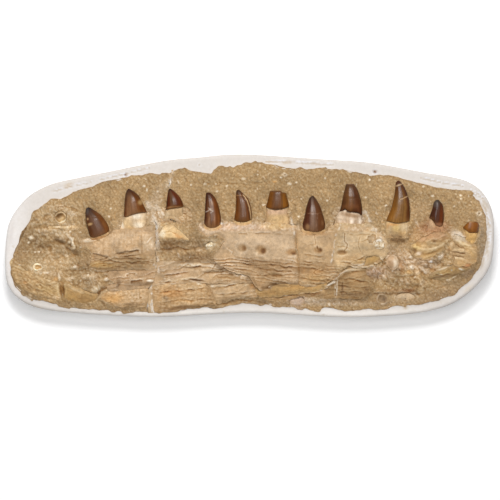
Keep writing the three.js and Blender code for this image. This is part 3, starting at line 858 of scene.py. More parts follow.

# %% [markdown]
# ## Where the rock ends
# Three lines order the whole slab: the outer edge of the plaster, the ragged line where rock
# meets plaster, and the glued break that crosses the block. The first comes from the jacket's
# solid. The ragged line is measured along the real edge, in millimetres, with a point
# wherever it turns.
# %% The edge of the rock
ROCK_EDGE = [
    (-285.5, -30), (-283, -27), (-283, -24), (-281.7, -20), (-279.5, -14.7), (-276.7, -10), (-275.5, -5),
    (-274.5, -1), (-271.5, 5), (-268, 9), (-264.7, 14), (-262, 20), (-260.5, 26), (-258, 29), (-254, 30.5),
    (-250, 33.7), (-246, 37), (-242, 39.4), (-238.6, 42.5), (-233, 43.6), (-226, 43.5), (-221.7, 45.3),
    (-216, 47.5), (-211, 51.7), (-207.6, 52), (-205, 53.8), (-198, 55.6), (-190, 57.3), (-186, 58.7),
    (-183.8, 60.5), (-177.4, 63), (-171.8, 64.7), (-163, 66), (-156, 67), (-152.8, 68.3), (-145, 69.7),
    (-140.8, 71.4), (-137, 71), (-129.5, 71.7), (-124, 73), (-119, 74), (-108, 72.8), (-104, 74.3),
    (-96, 74), (-91, 76.4), (-86.6, 78.5), (-81.7, 79.5), (-78, 80.4), (-74, 78.8), (-69.7, 77),
    (-60.5, 75.7), (-56, 75), (-50.6, 74), (-47, 73.3), (-45, 74.3), (-43.6, 77), (-40, 80), (-37, 82.7),
    (-31.6, 82.7), (-27.4, 81.5), (-23, 82.4), (-19, 81), (-15.4, 82.7), (-10.4, 83.8), (-8.3, 85.5),
    (-4.8, 87), (2, 86.7), (7, 88.5), (10, 87), (15, 87), (17, 85.9), (22.6, 84.8), (27.5, 84.8),
    (32.4, 83.8), (38, 81.7), (44.4, 80.3), (52, 79.5), (57, 80), (61.4, 81), (65, 79.2), (75, 79),
    (82.5, 80), (91, 81), (93, 79.4), (100, 79), (110, 78.5), (116, 77.6), (121, 76.4), (128, 75.3),
    (136.7, 73.3), (141, 73), (144.4, 70.7), (150, 71), (155, 71.8), (162, 71.8), (170.5, 71), (178, 69),
    (183, 67), (190, 65.5), (197, 63.5), (205, 61.6), (212, 60.5), (218, 58.5), (224.5, 56.8), (233, 55.6),
    (240, 54.5), (255, 53.8), (262, 53.5), (265.5, 52), (268.3, 50), (267, 47.5), (269, 45.7), (271, 43),
    (274.6, 41), (276, 38), (278, 33.7), (280.3, 28.8), (282.4, 23.8), (283.4, 19), (284, 5), (284, -3),
    (283, -8), (281.7, -16), (280.6, -21), (279, -27), (277.8, -33), (276, -38), (274, -42), (269.7, -46.5),
    (267, -50.7), (262, -56.4), (256, -60.6), (251, -65), (248, -68.7), (245, -72), (241, -73),
    (236.5, -74), (231.6, -76), (226, -78.6), (219.6, -79.3), (212, -81), (205, -82.8), (197, -83.7),
    (189, -84), (187, -86), (181, -84.7), (175, -85), (170, -86), (165, -88.4), (152, -89.5), (144, -88.2),
    (137, -88.8), (130, -90), (122, -90.3), (115.5, -91.6), (110, -90), (104, -88.8), (100, -87.2),
    (92, -86.7), (87.5, -87.7), (84, -91.6), (79, -91.6), (73, -90), (67, -88), (63.5, -89.5), (58.5, -89),
    (53.6, -86.7), (41.6, -86), (33, -86.3), (28, -86), (25.4, -84), (19.7, -83.5), (13.4, -84.4), (9, -83),
    (0, -82.3), (-5, -81.4), (-10, -81.4), (-14, -82.8), (-20, -84), (-28, -85.3), (-34, -87.4),
    (-41.5, -88.4), (-46, -87.7), (-50.6, -86), (-56, -86.7), (-65, -88.4), (-77, -88.4), (-83, -90.6),
    (-88, -92), (-96, -92.7), (-103, -92.7), (-108, -94), (-113, -93), (-126, -92), (-134, -92),
    (-142, -93), (-150.6, -94.4), (-153.5, -92), (-158, -91), (-162, -92.7), (-166, -92), (-170, -90),
    (-178, -90), (-187, -89), (-200, -88.6), (-205.5, -87.4), (-212, -87), (-216, -88.4), (-220, -87),
    (-224, -86.7), (-228, -85), (-231, -82.8), (-235, -82.4), (-240, -80.7), (-246, -78.6), (-252, -78.6),
    (-258, -77.2), (-260.5, -79), (-263, -76.8), (-268, -74), (-272, -72), (-275, -67.6), (-279.5, -63.4),
    (-281.7, -59), (-283.4, -54), (-285.5, -47), (-285.5, -40), (-286.6, -34),
]
EDGE = anticlockwise(np.array(ROCK_EDGE, float))
print("points along the edge of the rock:", len(EDGE))

# %% [markdown]
# ## The glued break
# The block broke in two and was glued. The break wanders down the slab, and it opens where
# crumbs were lost. Its middle and its half width at a few places are enough to draw it.
# %% The break and the outlines of both blocks
# x, y and half width of the break, from the top down
BREAK = [
    (-90, 90, 1.2), (-92, 76, 1.0), (-96, 60, 0.6), (-99, 52, -0.4), (-112, 36, -0.4), (-116, 22, -0.3),
    (-111, 12, 1.0), (-110.5, 5, 1.6), (-110.5, -6, 1.7), (-111.6, -16, 1.5), (-112, -30, 1.3),
    (-111.6, -45, 1.7), (-114, -55, 1.8), (-118.5, -66, 3.0), (-119.5, -80, 3.3), (-117.5, -100, 3.2),
]


def break_at(y):
    """The middle and the half width of the glued break at a height on the plan."""
    course = np.array(BREAK[::-1], float)
    return np.interp(y, course[:, 1], course[:, 0]), np.interp(y, course[:, 1], course[:, 2])


def beside_break(p, side, clear=0.0):
    """Which points lie on one side of the break (-1 left, +1 right)."""
    middle, half = break_at(p[:, 1])
    return side * (p[:, 0] - middle) > half + clear


def rock_ring(side, spacing):
    """The outline of the rock on one side of the break."""
    ring = resample(EDGE, spacing)
    ring = ring + outward(ring) * (0.8 * rough(*ring.T, 4, 77, 3))[:, None]
    mine = beside_break(ring, side)
    starts = np.flatnonzero(mine & ~np.roll(mine, 1))
    longest = max(starts, key=lambda s: np.argmin(np.append(np.roll(mine, -s), False)))
    run = np.roll(ring, -longest, axis=0)[: np.argmin(np.append(np.roll(mine, -longest), False))]
    y = np.linspace(run[-1, 1], run[0, 1], int(abs(run[-1, 1] - run[0, 1]) / spacing))[1:-1]
    middle, half = break_at(y)
    x = middle + side * half + 0.5 * rough(y, y * 0 + side, 4, 12, 3)
    return anticlockwise(np.vstack([run, np.column_stack([x, y])]))


REAR_RING = rock_ring(-1, 1.15)
FRONT_RING = rock_ring(1, 1.15)
print("rock outlines:", len(REAR_RING), "and", len(FRONT_RING), "points")

# %% [markdown]
# ## The plaster jacket
# Wet plaster was poured and trowelled around the block, so its rim is smooth, gently wavy and
# rounded over to a wall that bulges. One sheet makes the rim between the outer edge and the rock,
# and rings below it make the wall, the foot, and the bed that the rock sits in. The outer edge is
# the widest line of the packed solid.
# %% The outer edge of the jacket
def widest_ring(node, height):
    """The corners of a solid at one height, in order round its middle."""
    mesh = solid_mesh(node)
    places = np.array([v.co[:] for v in mesh.vertices])
    level = places[np.abs(places[:, 2] - height * MM) < 1e-5][:, :2] / MM
    level = np.unique(np.round(level, 3), axis=0)
    around = np.argsort(np.arctan2(level[:, 1], level[:, 0]))
    return level[around] + PLAN_CENTRE


OUTER = anticlockwise(resample(widest_ring("plaster_jacket", 16), 1.9))
print("points round the jacket:", len(OUTER))

# %% [markdown]
# ## Marks on the plaster
# Plaster keeps what touched it: short trowel lines, a few pits where air was caught, and dust of
# the rock along its inner edge. They are shallow, but the lamp rakes them. The left side and the
# lower edge of the rim are made paler as painted light.
# %% Relief and stains of the jacket
# lines that the trowel left
TROWEL = [
    [(266, 50), (272, 47), (280, 44)], [(263, 53.5), (270, 51), (276, 48)],
    [(276, 40), (283, 30), (285, 20), (288, 10)], [(288, 5), (287, -10), (281, -30)],
    [(286, 4), (285, -10), (279.5, -28)], [(205, 68), (230, 62.5), (255, 58.5)],
    [(20, 88), (60, 86.5), (100, 84)], [(-180, 66), (-150, 73), (-120, 80)],
    [(-235, 52), (-215, 58), (-190, 63)],
]
# middle, size and depth of small holes
PITS = [
    (-148.5, 71.5, 1.3, 1.6), (150.5, 75.5, 1.5, 1.6), (-283, -14, 0.9, 0.6), (-288, -40, 0.8, 0.5),
    (-60, 84, 0.9, 0.5), (88, -95, 0.9, 0.5), (200, -89, 0.8, 0.5), (285.5, 12, 0.9, 0.6),
    (-200, 61, 0.8, 0.5), (20, 90, 0.8, 0.5), (230, -82, 0.8, 0.5), (-30, -91, 0.8, 0.5),
    (265, -66, 0.8, 0.4),
]


def plaster_relief(p):
    """Slow waves, trowel lines and a few pits."""
    x, y = p.T
    z = 0.5 * rough(x, y, 38, 21, 2) + 0.16 * rough(x, y, 6, 22, 3)
    for line in TROWEL:
        z += groove(p, line, 1.0, 0.45)
        z += groove(p, np.array(line) + 1.3, 0.9, -0.25)
    for px, py, size, depth in PITS:
        z += swell(p, px, py, size, size, -depth, edge=3)
    return z


# the first two ovals are painted light, paler plaster on the left side and along the lower edge; the others
# are stains
PLASTER_STAINS_AND_LIGHT = [
    (-288, -10, 22, 70, 0, (233, 227, 222), 0.9), (0, -97, 330, 8, 0, (238, 231, 223), 0.9),
    (-217, 59, 5, 2.5, 20, (196, 168, 130), 0.55), (45, 86.5, 6, 1.6, 0, (190, 160, 120), 0.5),
    (80, 85.5, 6, 1.6, 0, (194, 164, 126), 0.4), (25, 87.5, 6, 1.5, 0, (200, 172, 134), 0.4),
    (-268, -83.5, 5, 1.6, -25, (206, 184, 156), 0.6), (-255, -86, 6, 1.2, -8, (208, 188, 162), 0.5),
    (-285, 1, 2, 14, -10, (206, 196, 190), 0.4), (262, -64, 6, 2, 40, (214, 196, 170), 0.5),
    (-148.5, 71.5, 1.7, 1.5, 0, (150, 110, 70), 0.9), (150.5, 75.5, 2.0, 1.8, 0, (150, 112, 74), 0.9),
    (282, 36, 3, 8, 25, (190, 168, 136), 0.45), (284, -12, 1.6, 14, 5, (186, 162, 128), 0.5),
    (279, -34, 1.4, 7, -15, (184, 160, 124), 0.5), (187, -87, 3, 2, 0, (196, 172, 136), 0.7),
    (-223.5, 42.4, 3.4, 1.8, 5, (240, 234, 228), 0.9), (230, -80, 8, 2, -10, (212, 198, 178), 0.3),
]
print("marks on the plaster:", len(TROWEL) + len(PITS) + len(PLASTER_STAINS_AND_LIGHT))

# %% [markdown]
# ## One body for the tray
# The rim's height falls away over its rounding, and the two borders of the sheet go down by rings
# to the foot and to the bed.
# %% The jacket
RIM_TOP = 40.0
ROUNDING = 3.6
PLASTER_TONE = (218, 210, 202)
SANDY_TONE = (205, 178, 140)
# height and inset of each ring, down the outer wall and down the bed of the rock
JACKET_WALL = ((25, 0.1), (20, 0.1), (14, 0.3), (9, 0.7), (5, 1.3), (2, 2.6), (0.1, 5.0))
JACKET_BED = ((35, 0.9), (24, 1.6), (12.2, 2.2))


def make_jacket():
    hole = anticlockwise(resample(EDGE, 1.3))
    hole = resample(hole - outward(hole) * 1.8, 1.6, smooth=False)
    rim = OUTER - outward(OUTER) * 0.3
    flat, faces, (outer, inner) = fill([rim, hole], 2.0, 31)
    away = edge_distance(flat, OUTER)
    near_rock = edge_distance(flat, hole)
    bend = np.clip(1 - away / ROUNDING, 0, 1)
    drop = 5.4 * (1 - np.sqrt(np.clip(1 - bend**2.4, 0, 1)))
    lip = 0.9 * np.exp(-((near_rock / 2.5) ** 2))
    heights = RIM_TOP - 0.6 - drop + plaster_relief(flat) * np.clip(away / 5, 0, 1) + lip
    colour = np.tile(linear(PLASTER_TONE), (len(flat), 1))
    colour = lay_ovals(colour, flat, PLASTER_STAINS_AND_LIGHT, 40, 1.2)
    dusty = 0.5 * np.exp(-((near_rock / 1.3) ** 2)) * (0.6 + 0.6 * rough(*flat.T, 6, 9, 3))
    colour = lay(colour, SANDY_TONE, np.clip(dusty, 0, 1))
    # painted shade in the trowel lines and pits, and painted light on the high places
    colour = mottle_dust_and_painted_light(colour, flat, plaster_relief, 41, 0.03, 0.03, 0.3)
    body = Body()
    body.top(flat, faces, heights, colour)
    for border, levels, bulging in ((outer, JACKET_WALL, 0.8), (inner, JACKET_BED, 0.0)):
        edge = flat[border]
        rings = []
        for height, inset in levels:
            bulge = bulging * (1 + rough(edge[:, 0], edge[:, 1] + 3 * height, 16, 51, 4))
            bulge *= np.clip((21 - height) / 10, 0, 1)
            rings.append((edge - outward(edge) * (inset + bulge)[:, None], height, colour[border]))
        body.wall(border, rings)
    return body.build("jacket_plaster", PLASTER, "plaster", "plaster_jacket")


make_jacket()

# %% [markdown]
# ## The rock
# The matrix is phosphate sand with pebbles, shell bits and small bones, scraped by a preparator.
# Its relief is a sum of plain forms: the solid's broad height, then shoulders, hollows and
# terraces put where they are on the real slab, then sand. Its surface goes on under the bones,
# so nothing shows a gap where a bone leaves the rock.
# %% Shoulders, hollows and ledges of the rock
# middle, half sizes, rise, turn and edge of each swelling or hollow
ROCK_LUMPS = [
    (-232, 28, 26, 9, 1.6, 8, 2), (-242, 20, 5, 4, -1.8, 0, 3), (-247, 10, 8, 3, -1.2, 10, 3),
    (-259, 14, 2.5, 2, 1.4, 0, 2), (-261, -3, 2.8, 2.2, 2.2, 0, 3), (-225, -2, 24, 7, 1.4, -8, 2),
    (-232, -18, 26, 12, -2.0, -8, 3), (-215.4, -8.6, 2.4, 1.8, 1.8, 30, 3),
    (-212.6, -5, 2.6, 2.2, 2.0, -60, 3), (-211.4, -10.6, 1.8, 3.2, 2.0, 10, 3),
    (-209.6, -15, 1.6, 3.0, 1.6, -20, 3), (-213, -16, 1.6, 1.8, 1.4, 0, 3),
    (-219, -25, 2.5, 1.5, 1.0, -20, 3), (-209, -38, 2.6, 1.7, 1.2, 40, 3),
    (-228, -50, 1.4, 3.5, 1.8, 10, 3), (-215, -53, 4, 2.6, 1.4, 0, 3), (-189, -52, 9, 6, 2.4, -20, 3),
    (-192, -64, 8, 6, 1.8, -20, 3), (-171, -53, 2.4, 2, 1.6, 0, 3), (-162.5, -54, 5.5, 5.5, 2.6, -20, 4),
    (-155, -58, 3, 4, -2.2, 0, 3), (-99, -13, 8, 5, -1.4, 0, 3), (-80, -13, 10, 5, -1.6, -5, 3),
    (-60, -18, 3, 1.4, 0.8, -10, 3), (-50, -16, 1.8, 1.2, 0.8, 20, 3), (178, -6.5, 8.5, 3.4, -1.5, -6, 2),
    (222, 10, 16, 8, 1.5, 20, 3), (250, -2, 8, 6, 1.6, -30, 3), (185, -57, 26, 7, 1.6, -8, 3),
    (205, -62, 18, 6, 1.2, 0, 3), (193, -40, 4, 3, 1.0, 0, 3), (172, -34, 13, 12, -1.8, 0, 4),
    (210, -42.5, 5, 2.6, 1.5, -40, 3), (217, -32, 1.6, 1.3, 0.7, 0, 3), (201, -47, 2, 7, 1.1, 10, 3),
    (206, -57, 2, 5, 0.9, 20, 3), (150, -46, 12, 6, 1.4, -10, 3), (196, -20, 7, 4, -1.6, -20, 3),
    (73, -79, 6, 4.5, 1.0, 0, 3), (86, -80, 8, 4, 0.8, 0, 3), (275, 26, 3, 3, 0.8, 0, 3),
    (275, 26, 1.3, 1.3, -0.9, 0, 3), (42, 72, 3, 2.4, 0.9, 0, 3), (42, 72, 1.3, 1, -0.9, 0, 3),
    (-60, -84, 18, 2.4, -2.2, 5, 3), (205, -86, 40, 4, -0.5, 0, 2), (-20, -80, 20, 2.5, -1.2, 5, 3),
    (120, -79, 25, 3, -1.2, 0, 3),
]
# line, drop and reach of each ledge, and for some how soft it is
ROCK_LEDGES = [
    ([(228, -49.4), (240, -46.4), (252, -43), (262, -38.6), (268, -33)], 1.5, 3.5),
    ([(-74, -88), (-56, -86.4), (-40, -84), (-26, -79.4), (-12, -77.4), (4, -78), (16, -79)], 1.8, 3.4),
    ([(-256, -27), (-250, -18), (-240, -14.6), (-229, -17), (-222, -25)], 0.9, 4, 2.0),
    ([(-249, -33), (-246, -25), (-238, -21), (-230, -24), (-226, -33)], 0.8, 4, 1.6),
    ([(-270, -20), (-262, -8), (-250, -2)], 0.8, 4, 1.6),
    ([(-212, -26), (-206, -32), (-204, -42)], -0.9, 4, 1.5),
    ([(-264, 1), (-252, 0), (-240, -2), (-230, -5), (-222, -8), (-217, -12), (-212, -19),
        (-200, -20)], 2.6, 8, 3.5),
    ([(-283, -24), (-277, -12), (-270, 2), (-264, 14), (-260, 26)], -1.2, 3),
    ([(-238, 33), (-222, 36), (-208, 33), (-200, 27)], 1.0, 4),
    ([(-256, -10), (-246, -13), (-236, -12)], 1.4, 5, 2.0),
    ([(-187, -43.5), (-172, -43.5), (-160, -42.5)], 1.8, 4),
    ([(-188, -58), (-183, -63), (-180, -68)], -1.2, 2.5),
    ([(-230, -40), (-215, -42), (-200, -41), (-190, -43)], 0.8, 4),
    ([(-108, -15), (-98, -17), (-90, -14), (-84, -13.5), (-77, -16), (-70, -18)], 2.0, 4),
    ([(-88, -27), (-75, -26), (-60, -27), (-45, -28)], 1.2, 5, 2.4),
    ([(145, -69.4), (153, -68.2), (161, -69.6), (172, -68), (181, -69), (190, -67.8), (198, -69.4),
        (208, -70)], 2.2, 6, 1.6),
    ([(165, -52), (178, -50), (190, -47), (200, -49)], 1.2, 4),
    ([(205, -63), (220, -61), (235, -62)], 0.8, 4), ([(222, -58), (225, -61), (227, -64)], 0.6, 1.5),
    ([(229, -52), (231, -55), (233, -58)], 0.5, 1.5), ([(-200, 24), (-199, 15), (-197, 5)], 0.7, 4),
    ([(-60, 62), (-30, 64), (0, 62), (30, 66)], 0.5, 5), ([(60, 55), (90, 60), (120, 68)], 0.5, 5),
    ([(195, 45), (215, 50), (240, 46)], 0.5, 4), ([(-20, -75.4), (0, -76.4), (12, -74)], 1.6, 3),
    ([(236, -51.5), (244, -50), (252, -46)], 0.8, 2.5),
]
print("swellings and ledges:", len(ROCK_LUMPS) + len(ROCK_LEDGES))

# %% [markdown]
# ## Stains and specks of the rock
# The matrix isn't one brown. It is paler where it is fresh, pink and rusty in the rubble, and
# dotted with cream shell, and painted shadow darkens the foot of each ledge. Each patch is an oval
# with a ragged edge,
# placed one by one.
# %% Stains and specks of the rock
# middle and half sizes of the cream specks
SPECKS = [
    (-7, 67, 2.6, 1.5), (-27, 59, 1.3, 1.1), (-39, 52, 1.3, 1.2), (-166, 32, 1.4, 1.2),
    (-168, 22, 1.3, 1.5), (-110, 52, 1.4, 1.1), (-126, 58, 1.6, 1.0), (-122.5, 54, 1.0, 1.8),
    (48, 61, 2.6, 2.0), (56, 63, 1.5, 1.1), (38, 69, 1.3, 1.0), (91, 68, 1.3, 1.1), (59, 22, 1.4, 1.3),
    (93, 41, 1.3, 1.2), (144, 66, 1.5, 1.2), (139, 45, 1.3, 1.2), (163, 35, 1.3, 1.2), (208, 58, 1.3, 1.0),
    (219, 47, 2.0, 1.1), (253, 47, 1.6, 1.4), (253.5, 43, 1.2, 1.4), (-193, -48, 1.2, 1.0),
    (-40, 61, 1.0, 0.9), (112, 52, 1.0, 0.9), (-252, -20, 1.3, 0.9), (-264, -9, 1.6, 1.2),
    (-257, -20.5, 1.3, 1.0), (-243, -45, 3.0, 1.3), (-275, -36, 2.4, 0.8), (245, 34, 1.1, 1.0),
    (-215, 4, 1.1, 1.2), (176, 30, 1.0, 1.0), (62, 43, 1.0, 1.0), (10, 72, 1.0, 0.9), (-70, 60, 1.0, 1.0),
]
CREAM, WHITE, UMBER = (226, 202, 168), (238, 226, 208), (96, 68, 40)
# middle, half sizes, turn, colour and strength of each stain, as in all the lists of stains below
# the dark brown ovals along the ledges, in hollows and pits, and under the rod, the dome, the wedge, the
# ninth root and the lower edges of the bones are painted shadow; the pale, pink, rusty and cream ovals are
# the rock's own colours
ROCK_STAINS_AND_SHADE = [
    (253, -40.5, 9, 2.6, 22, (188, 152, 100), 0.85), (260, -36.6, 4, 2.2, 30, (196, 140, 90), 0.6),
    (92, -79.6, 42, 3.6, 0, (196, 172, 140), 0.6), (60, -84, 20, 2, 0, (150, 122, 86), 0.4),
    (-50, -85.8, 14, 1.2, 6, (112, 84, 52), 0.7), (-22, -79.4, 10, 1.2, 12, (112, 84, 52), 0.7),
    (6, -78.6, 11, 1.0, -3, (120, 90, 56), 0.6), (30, -82, 20, 2.4, 0, (138, 108, 70), 0.5),
    (-232, 28, 30, 10, 8, (186, 156, 116), 0.6), (-272, -12, 10, 22, -15, (150, 122, 88), 0.7),
    (-250, -14, 16, 8, -10, (146, 117, 80), 0.6), (-225, -6, 14, 5, -15, (160, 128, 90), 0.6),
    (-228, 2, 16, 4, -8, (200, 172, 134), 0.5), (-232, -30, 24, 14, 0, (181, 151, 112), 0.6),
    (-195, -32, 8, 8, 0, (168, 136, 98), 0.5), (-286, -33, 3, 5, 0, (206, 176, 130), 0.8),
    (-278, -40, 8, 3, -20, (190, 158, 112), 0.5), (-281, -58, 4, 14, 20, (146, 120, 88), 0.6),
    (-262, -73, 14, 5, -20, (150, 124, 92), 0.6), (-210, -84, 30, 4, 0, (164, 136, 100), 0.6),
    (-150, -89.5, 30, 3.5, 0, (150, 122, 88), 0.6), (-60, -87, 30, 3, 0, (142, 114, 80), 0.6),
    (-95, -12, 14, 8, 0, (132, 100, 66), 0.75), (-62, -28, 24, 4, 0, (118, 88, 56), 0.6),
    (-62, -15, 8, 6, 0, (160, 128, 92), 0.5), (178, -6.4, 9, 3.2, -6, (140, 106, 72), 0.8),
    (178, -2, 12, 2, 0, (176, 144, 104), 0.5), (220, 9, 16, 8, 5, (186, 132, 92), 0.75),
    (214, -2, 18, 6, 0, (192, 146, 102), 0.5), (205, 30, 14, 10, 0, (178, 146, 108), 0.4),
    (249, -1.4, 9, 4.6, -32, (230, 212, 188), 0.75), (150, -45, 14, 7, -5, (184, 152, 126), 0.7),
    (185, -32, 14, 8, -10, (190, 162, 132), 0.6), (212, -34, 14, 7, 0, (192, 160, 128), 0.6),
    (190, -57, 20, 5, -5, (156, 122, 80), 0.7), (190, -66.5, 6, 2.2, 0, (150, 90, 40), 0.85),
    (176, -66.5, 20, 2.0, 0, (140, 100, 60), 0.6), (175, -70.6, 34, 1.8, 0, (122, 96, 70), 0.5),
    (240, -61, 26, 8, 25, (162, 134, 100), 0.5), (278, -5, 5, 36, 2, (176, 152, 122), 0.7),
    (230, -72, 26, 6, 14, (150, 122, 90), 0.6), (190, -80, 50, 3.5, 2, (158, 130, 96), 0.6),
    (262, -45, 8, 6, 30, (160, 132, 102), 0.6), (-190, -55, 12, 10, 0, (190, 160, 122), 0.6),
    (-181, -70, 2.2, 6, -35, (124, 94, 62), 0.6), (-173, -63.4, 7, 1.8, 14, (120, 92, 62), 0.65),
    (-184, -64.5, 4.4, 3, 30, (228, 206, 170), 0.75), (-155, -56, 3, 5, 0, (120, 90, 60), 0.6),
    (-162, -51, 5, 4, -20, (206, 176, 138), 0.7), (20, -81, 34, 3, 0, (170, 138, 100), 0.6),
    (100, -80, 38, 4.4, 0, (176, 150, 120), 0.55), (74, -79, 8, 4, 0, (192, 168, 138), 0.6),
    (42, 72, 3, 2.4, 0, CREAM, 0.6), (42, 72, 1.2, 1.0, 0, UMBER, 0.6), (275, 26, 3, 3, 0, CREAM, 0.7),
    (275, 26, 1.2, 1.2, 0, UMBER, 0.7), (-261, -3, 3.2, 2.4, 0, (232, 208, 172), 0.95),
    (-215.4, -8.6, 2.6, 1.6, 30, (228, 202, 162), 0.8), (-212.6, -5, 3.0, 2.0, -60, (232, 208, 172), 0.85),
    (-211.4, -10.6, 1.6, 3.2, 10, (230, 206, 168), 0.85),
    (-209.6, -15, 1.5, 2.8, -20, (226, 198, 156), 0.8), (-213, -16.4, 1.6, 1.6, 0, (210, 178, 134), 0.7),
    (-219, -24.5, 2.8, 1.4, -20, (214, 186, 148), 0.7), (-209.4, -38.6, 2.6, 1.5, 40, (224, 200, 166), 0.8),
    (-206, -37, 1.8, 1.8, 0, (176, 132, 84), 0.7), (-226.6, -50, 1.2, 3.4, 10, (228, 206, 172), 0.75),
    (-232, -53, 3, 2.4, 0, (200, 154, 98), 0.7), (-215, -53, 4, 2.6, 0, (214, 186, 148), 0.7),
    (-218, -33, 2.2, 5, 0, (206, 176, 134), 0.6), (-171, -53, 2.4, 2, 0, CREAM, 0.85),
    (-60, -18, 2.6, 1.2, -10, (206, 176, 138), 0.5), (-50, -16, 1.6, 1.0, 20, (212, 184, 146), 0.5),
    (-85, -25, 0.8, 2.4, 25, WHITE, 0.85), (193, -39, 3, 2, 0, (222, 202, 174), 0.65),
    (210, -42.5, 5.4, 2.4, -40, (220, 196, 166), 0.65), (217, -32, 1.6, 1.3, 0, WHITE, 0.8),
    (202, -47, 2, 7, 10, (206, 168, 118), 0.6), (206, -57, 2, 5, 20, (204, 172, 130), 0.55),
    (192, -44.5, 4, 2, 0, (196, 148, 88), 0.7), (229, -25.5, 4, 2.4, 30, (222, 202, 176), 0.8),
    (205, -22, 4, 2, 30, (206, 178, 150), 0.7), (220, -41, 3, 3, 0, (190, 136, 78), 0.5),
    (31, 64, 1.4, 1.2, 0, (204, 150, 84), 0.8), (242, -51, 5.5, 1.4, 25, (226, 204, 170), 0.9),
    (-222, 2, 12, 5, -8, (200, 174, 138), 0.6), (-222, 7.2, 15, 0.8, 0, (120, 92, 58), 0.8),
    (-212, 25, 5, 3, -20, (208, 186, 156), 0.5), (-243, 9, 7, 4, 0, (196, 164, 122), 0.6),
    (-246, 3, 5, 1.6, 10, (112, 84, 54), 0.6), (-257, -6, 5, 1.6, 10, (112, 84, 54), 0.6),
    (-246, -13, 8, 2, 20, (120, 90, 56), 0.6), (-228, -6, 7, 2.4, -10, (128, 98, 64), 0.6),
    (-212, -18.4, 8, 1.8, -15, (134, 104, 72), 0.6), (-252, -43, 10, 2, -20, (208, 180, 146), 0.5),
    (-235, -46, 9, 2.4, -10, (206, 178, 142), 0.5), (-250, -52, 12, 2.4, -25, (160, 124, 76), 0.5),
    (-223, -65, 1.8, 7, 10, (138, 92, 38), 0.85), (168, -40, 10, 2.4, -10, (124, 98, 70), 0.6),
    (182, -38, 2.4, 8, 5, (170, 118, 66), 0.6), (170, -20, 12, 6, -40, (202, 170, 134), 0.5),
    (184, -20, 8, 8, 0, (204, 170, 130), 0.5), (150, -49, 12, 2, -12, (118, 92, 62), 0.5),
    (205, -14, 8, 3, 0, (200, 158, 116), 0.4), (-70, -8, 16, 6, 0, (150, 122, 88), 0.7),
    (-66, -24, 20, 3, 0, (132, 102, 68), 0.6), (-112, 40, 6, 20, -22, (196, 172, 142), 0.5),
    (-106, 23, 7, 5, 0, (206, 184, 156), 0.6), (-96, 64, 3, 10, -20, (200, 180, 152), 0.5),
    (-272, 0, 1.3, 26, -26, (124, 96, 62), 0.6), (-216, 12, 6, 4, 0, (200, 174, 140), 0.4),
    (264, -74, 3, 1.4, 0, (236, 226, 214), 0.6), (-221, 44.6, 3.2, 0.8, 10, UMBER, 0.5),
    (-264, -75.5, 4, 1.2, -20, (226, 212, 192), 0.5),
]
# share of the chips from and to, their colour and how strongly it shows
SHARD_TONES = (
    (0.0, 0.1, (228, 206, 174), 0.7), (0.1, 0.3, (206, 176, 136), 0.6), (0.3, 0.42, (184, 136, 84), 0.5),
    (0.42, 0.56, (134, 104, 70), 0.55), (0.56, 0.7, (192, 164, 130), 0.5),
)
print("stains and specks:", len(ROCK_STAINS_AND_SHADE) + len(SPECKS))

# %% [markdown]
# ## Sand and pebbles
# Up close the matrix is a sandstone of pellets a millimetre or two across, with chips of shell and
# bone up to four. Round grains and bent chips, scattered one to a cell, stand for them. In a few
# places of the slab the rock is a rubble of such chips, coarser than elsewhere.
# %% Relief of the rock
# middle, half sizes and turn of each place, and how strong the rubble is there
RUBBLE = (
    (186, -44, 44, 23, -5, 1.0), (232, -30, 16, 12, 20, 0.9), (-236, 6, 34, 38, 0, 0.6),
    (-200, -48, 34, 16, 0, 0.7), (-86, -14, 34, 16, 0, 0.45), (222, 6, 20, 12, 0, 0.6),
)


def rubble(p):
    """How much of a rubble of shell and bone the rock is at each place."""
    return np.clip(sum(strength * within(p, *place) for *place, strength in RUBBLE), 0, 1)


def rock_relief(p):
    x, y = p.T
    z = 1.1 * rough(x, y, 15, 61, 6) + 0.42 * grains(x, y, 2.6, 62)[0] + 0.35 * shards(x, y, 6.0, 67, 0.4)[0]
    z += 0.4 * lumps(x + 0.6 * y, y, 6.5, 68, 3)
    broken = 1.7 * rough(x, y, 9, 71, 5) + 0.9 * lumps(x + 0.4 * y, y, 6.4, 77, 2)
    z += rubble(p) * (broken + 0.3 * shards(x, y, 8.0, 72, 0.45)[0])
    for lump in ROCK_LUMPS:
        z += swell(p, *lump)
    for line, drop, reach, *soft in ROCK_LEDGES:
        z += ledge(p, line, drop, reach, *soft)
    z += groove(p, [(-187, -77), (-182, -72), (-178, -66.5), (-172, -63.4), (-164, -62)], 2.4, 2.2, 0.9)
    for speck_x, speck_y, half_x, half_y in SPECKS:
        z += swell(p, speck_x, speck_y, half_x, half_y, 0.4, edge=3)
    return z


print("places of rubble:", len(RUBBLE))

# %% [markdown]
# ## Colours of the rock
# Each grain and chip has a shade of its own, taken from the same lattice as its height, so a chip
# that stands up is also seen. Then come crevices darkened by painted shade, rusty clouds, cream
# specks, and dust with painted shade in every hollow.
# %% Paint of the rock
ROCK_TONE, SPECK_TONE = (171, 140, 99), (230, 208, 174)
LUMP_TONE, RUST_TONE = (214, 186, 152), (192, 140, 84)


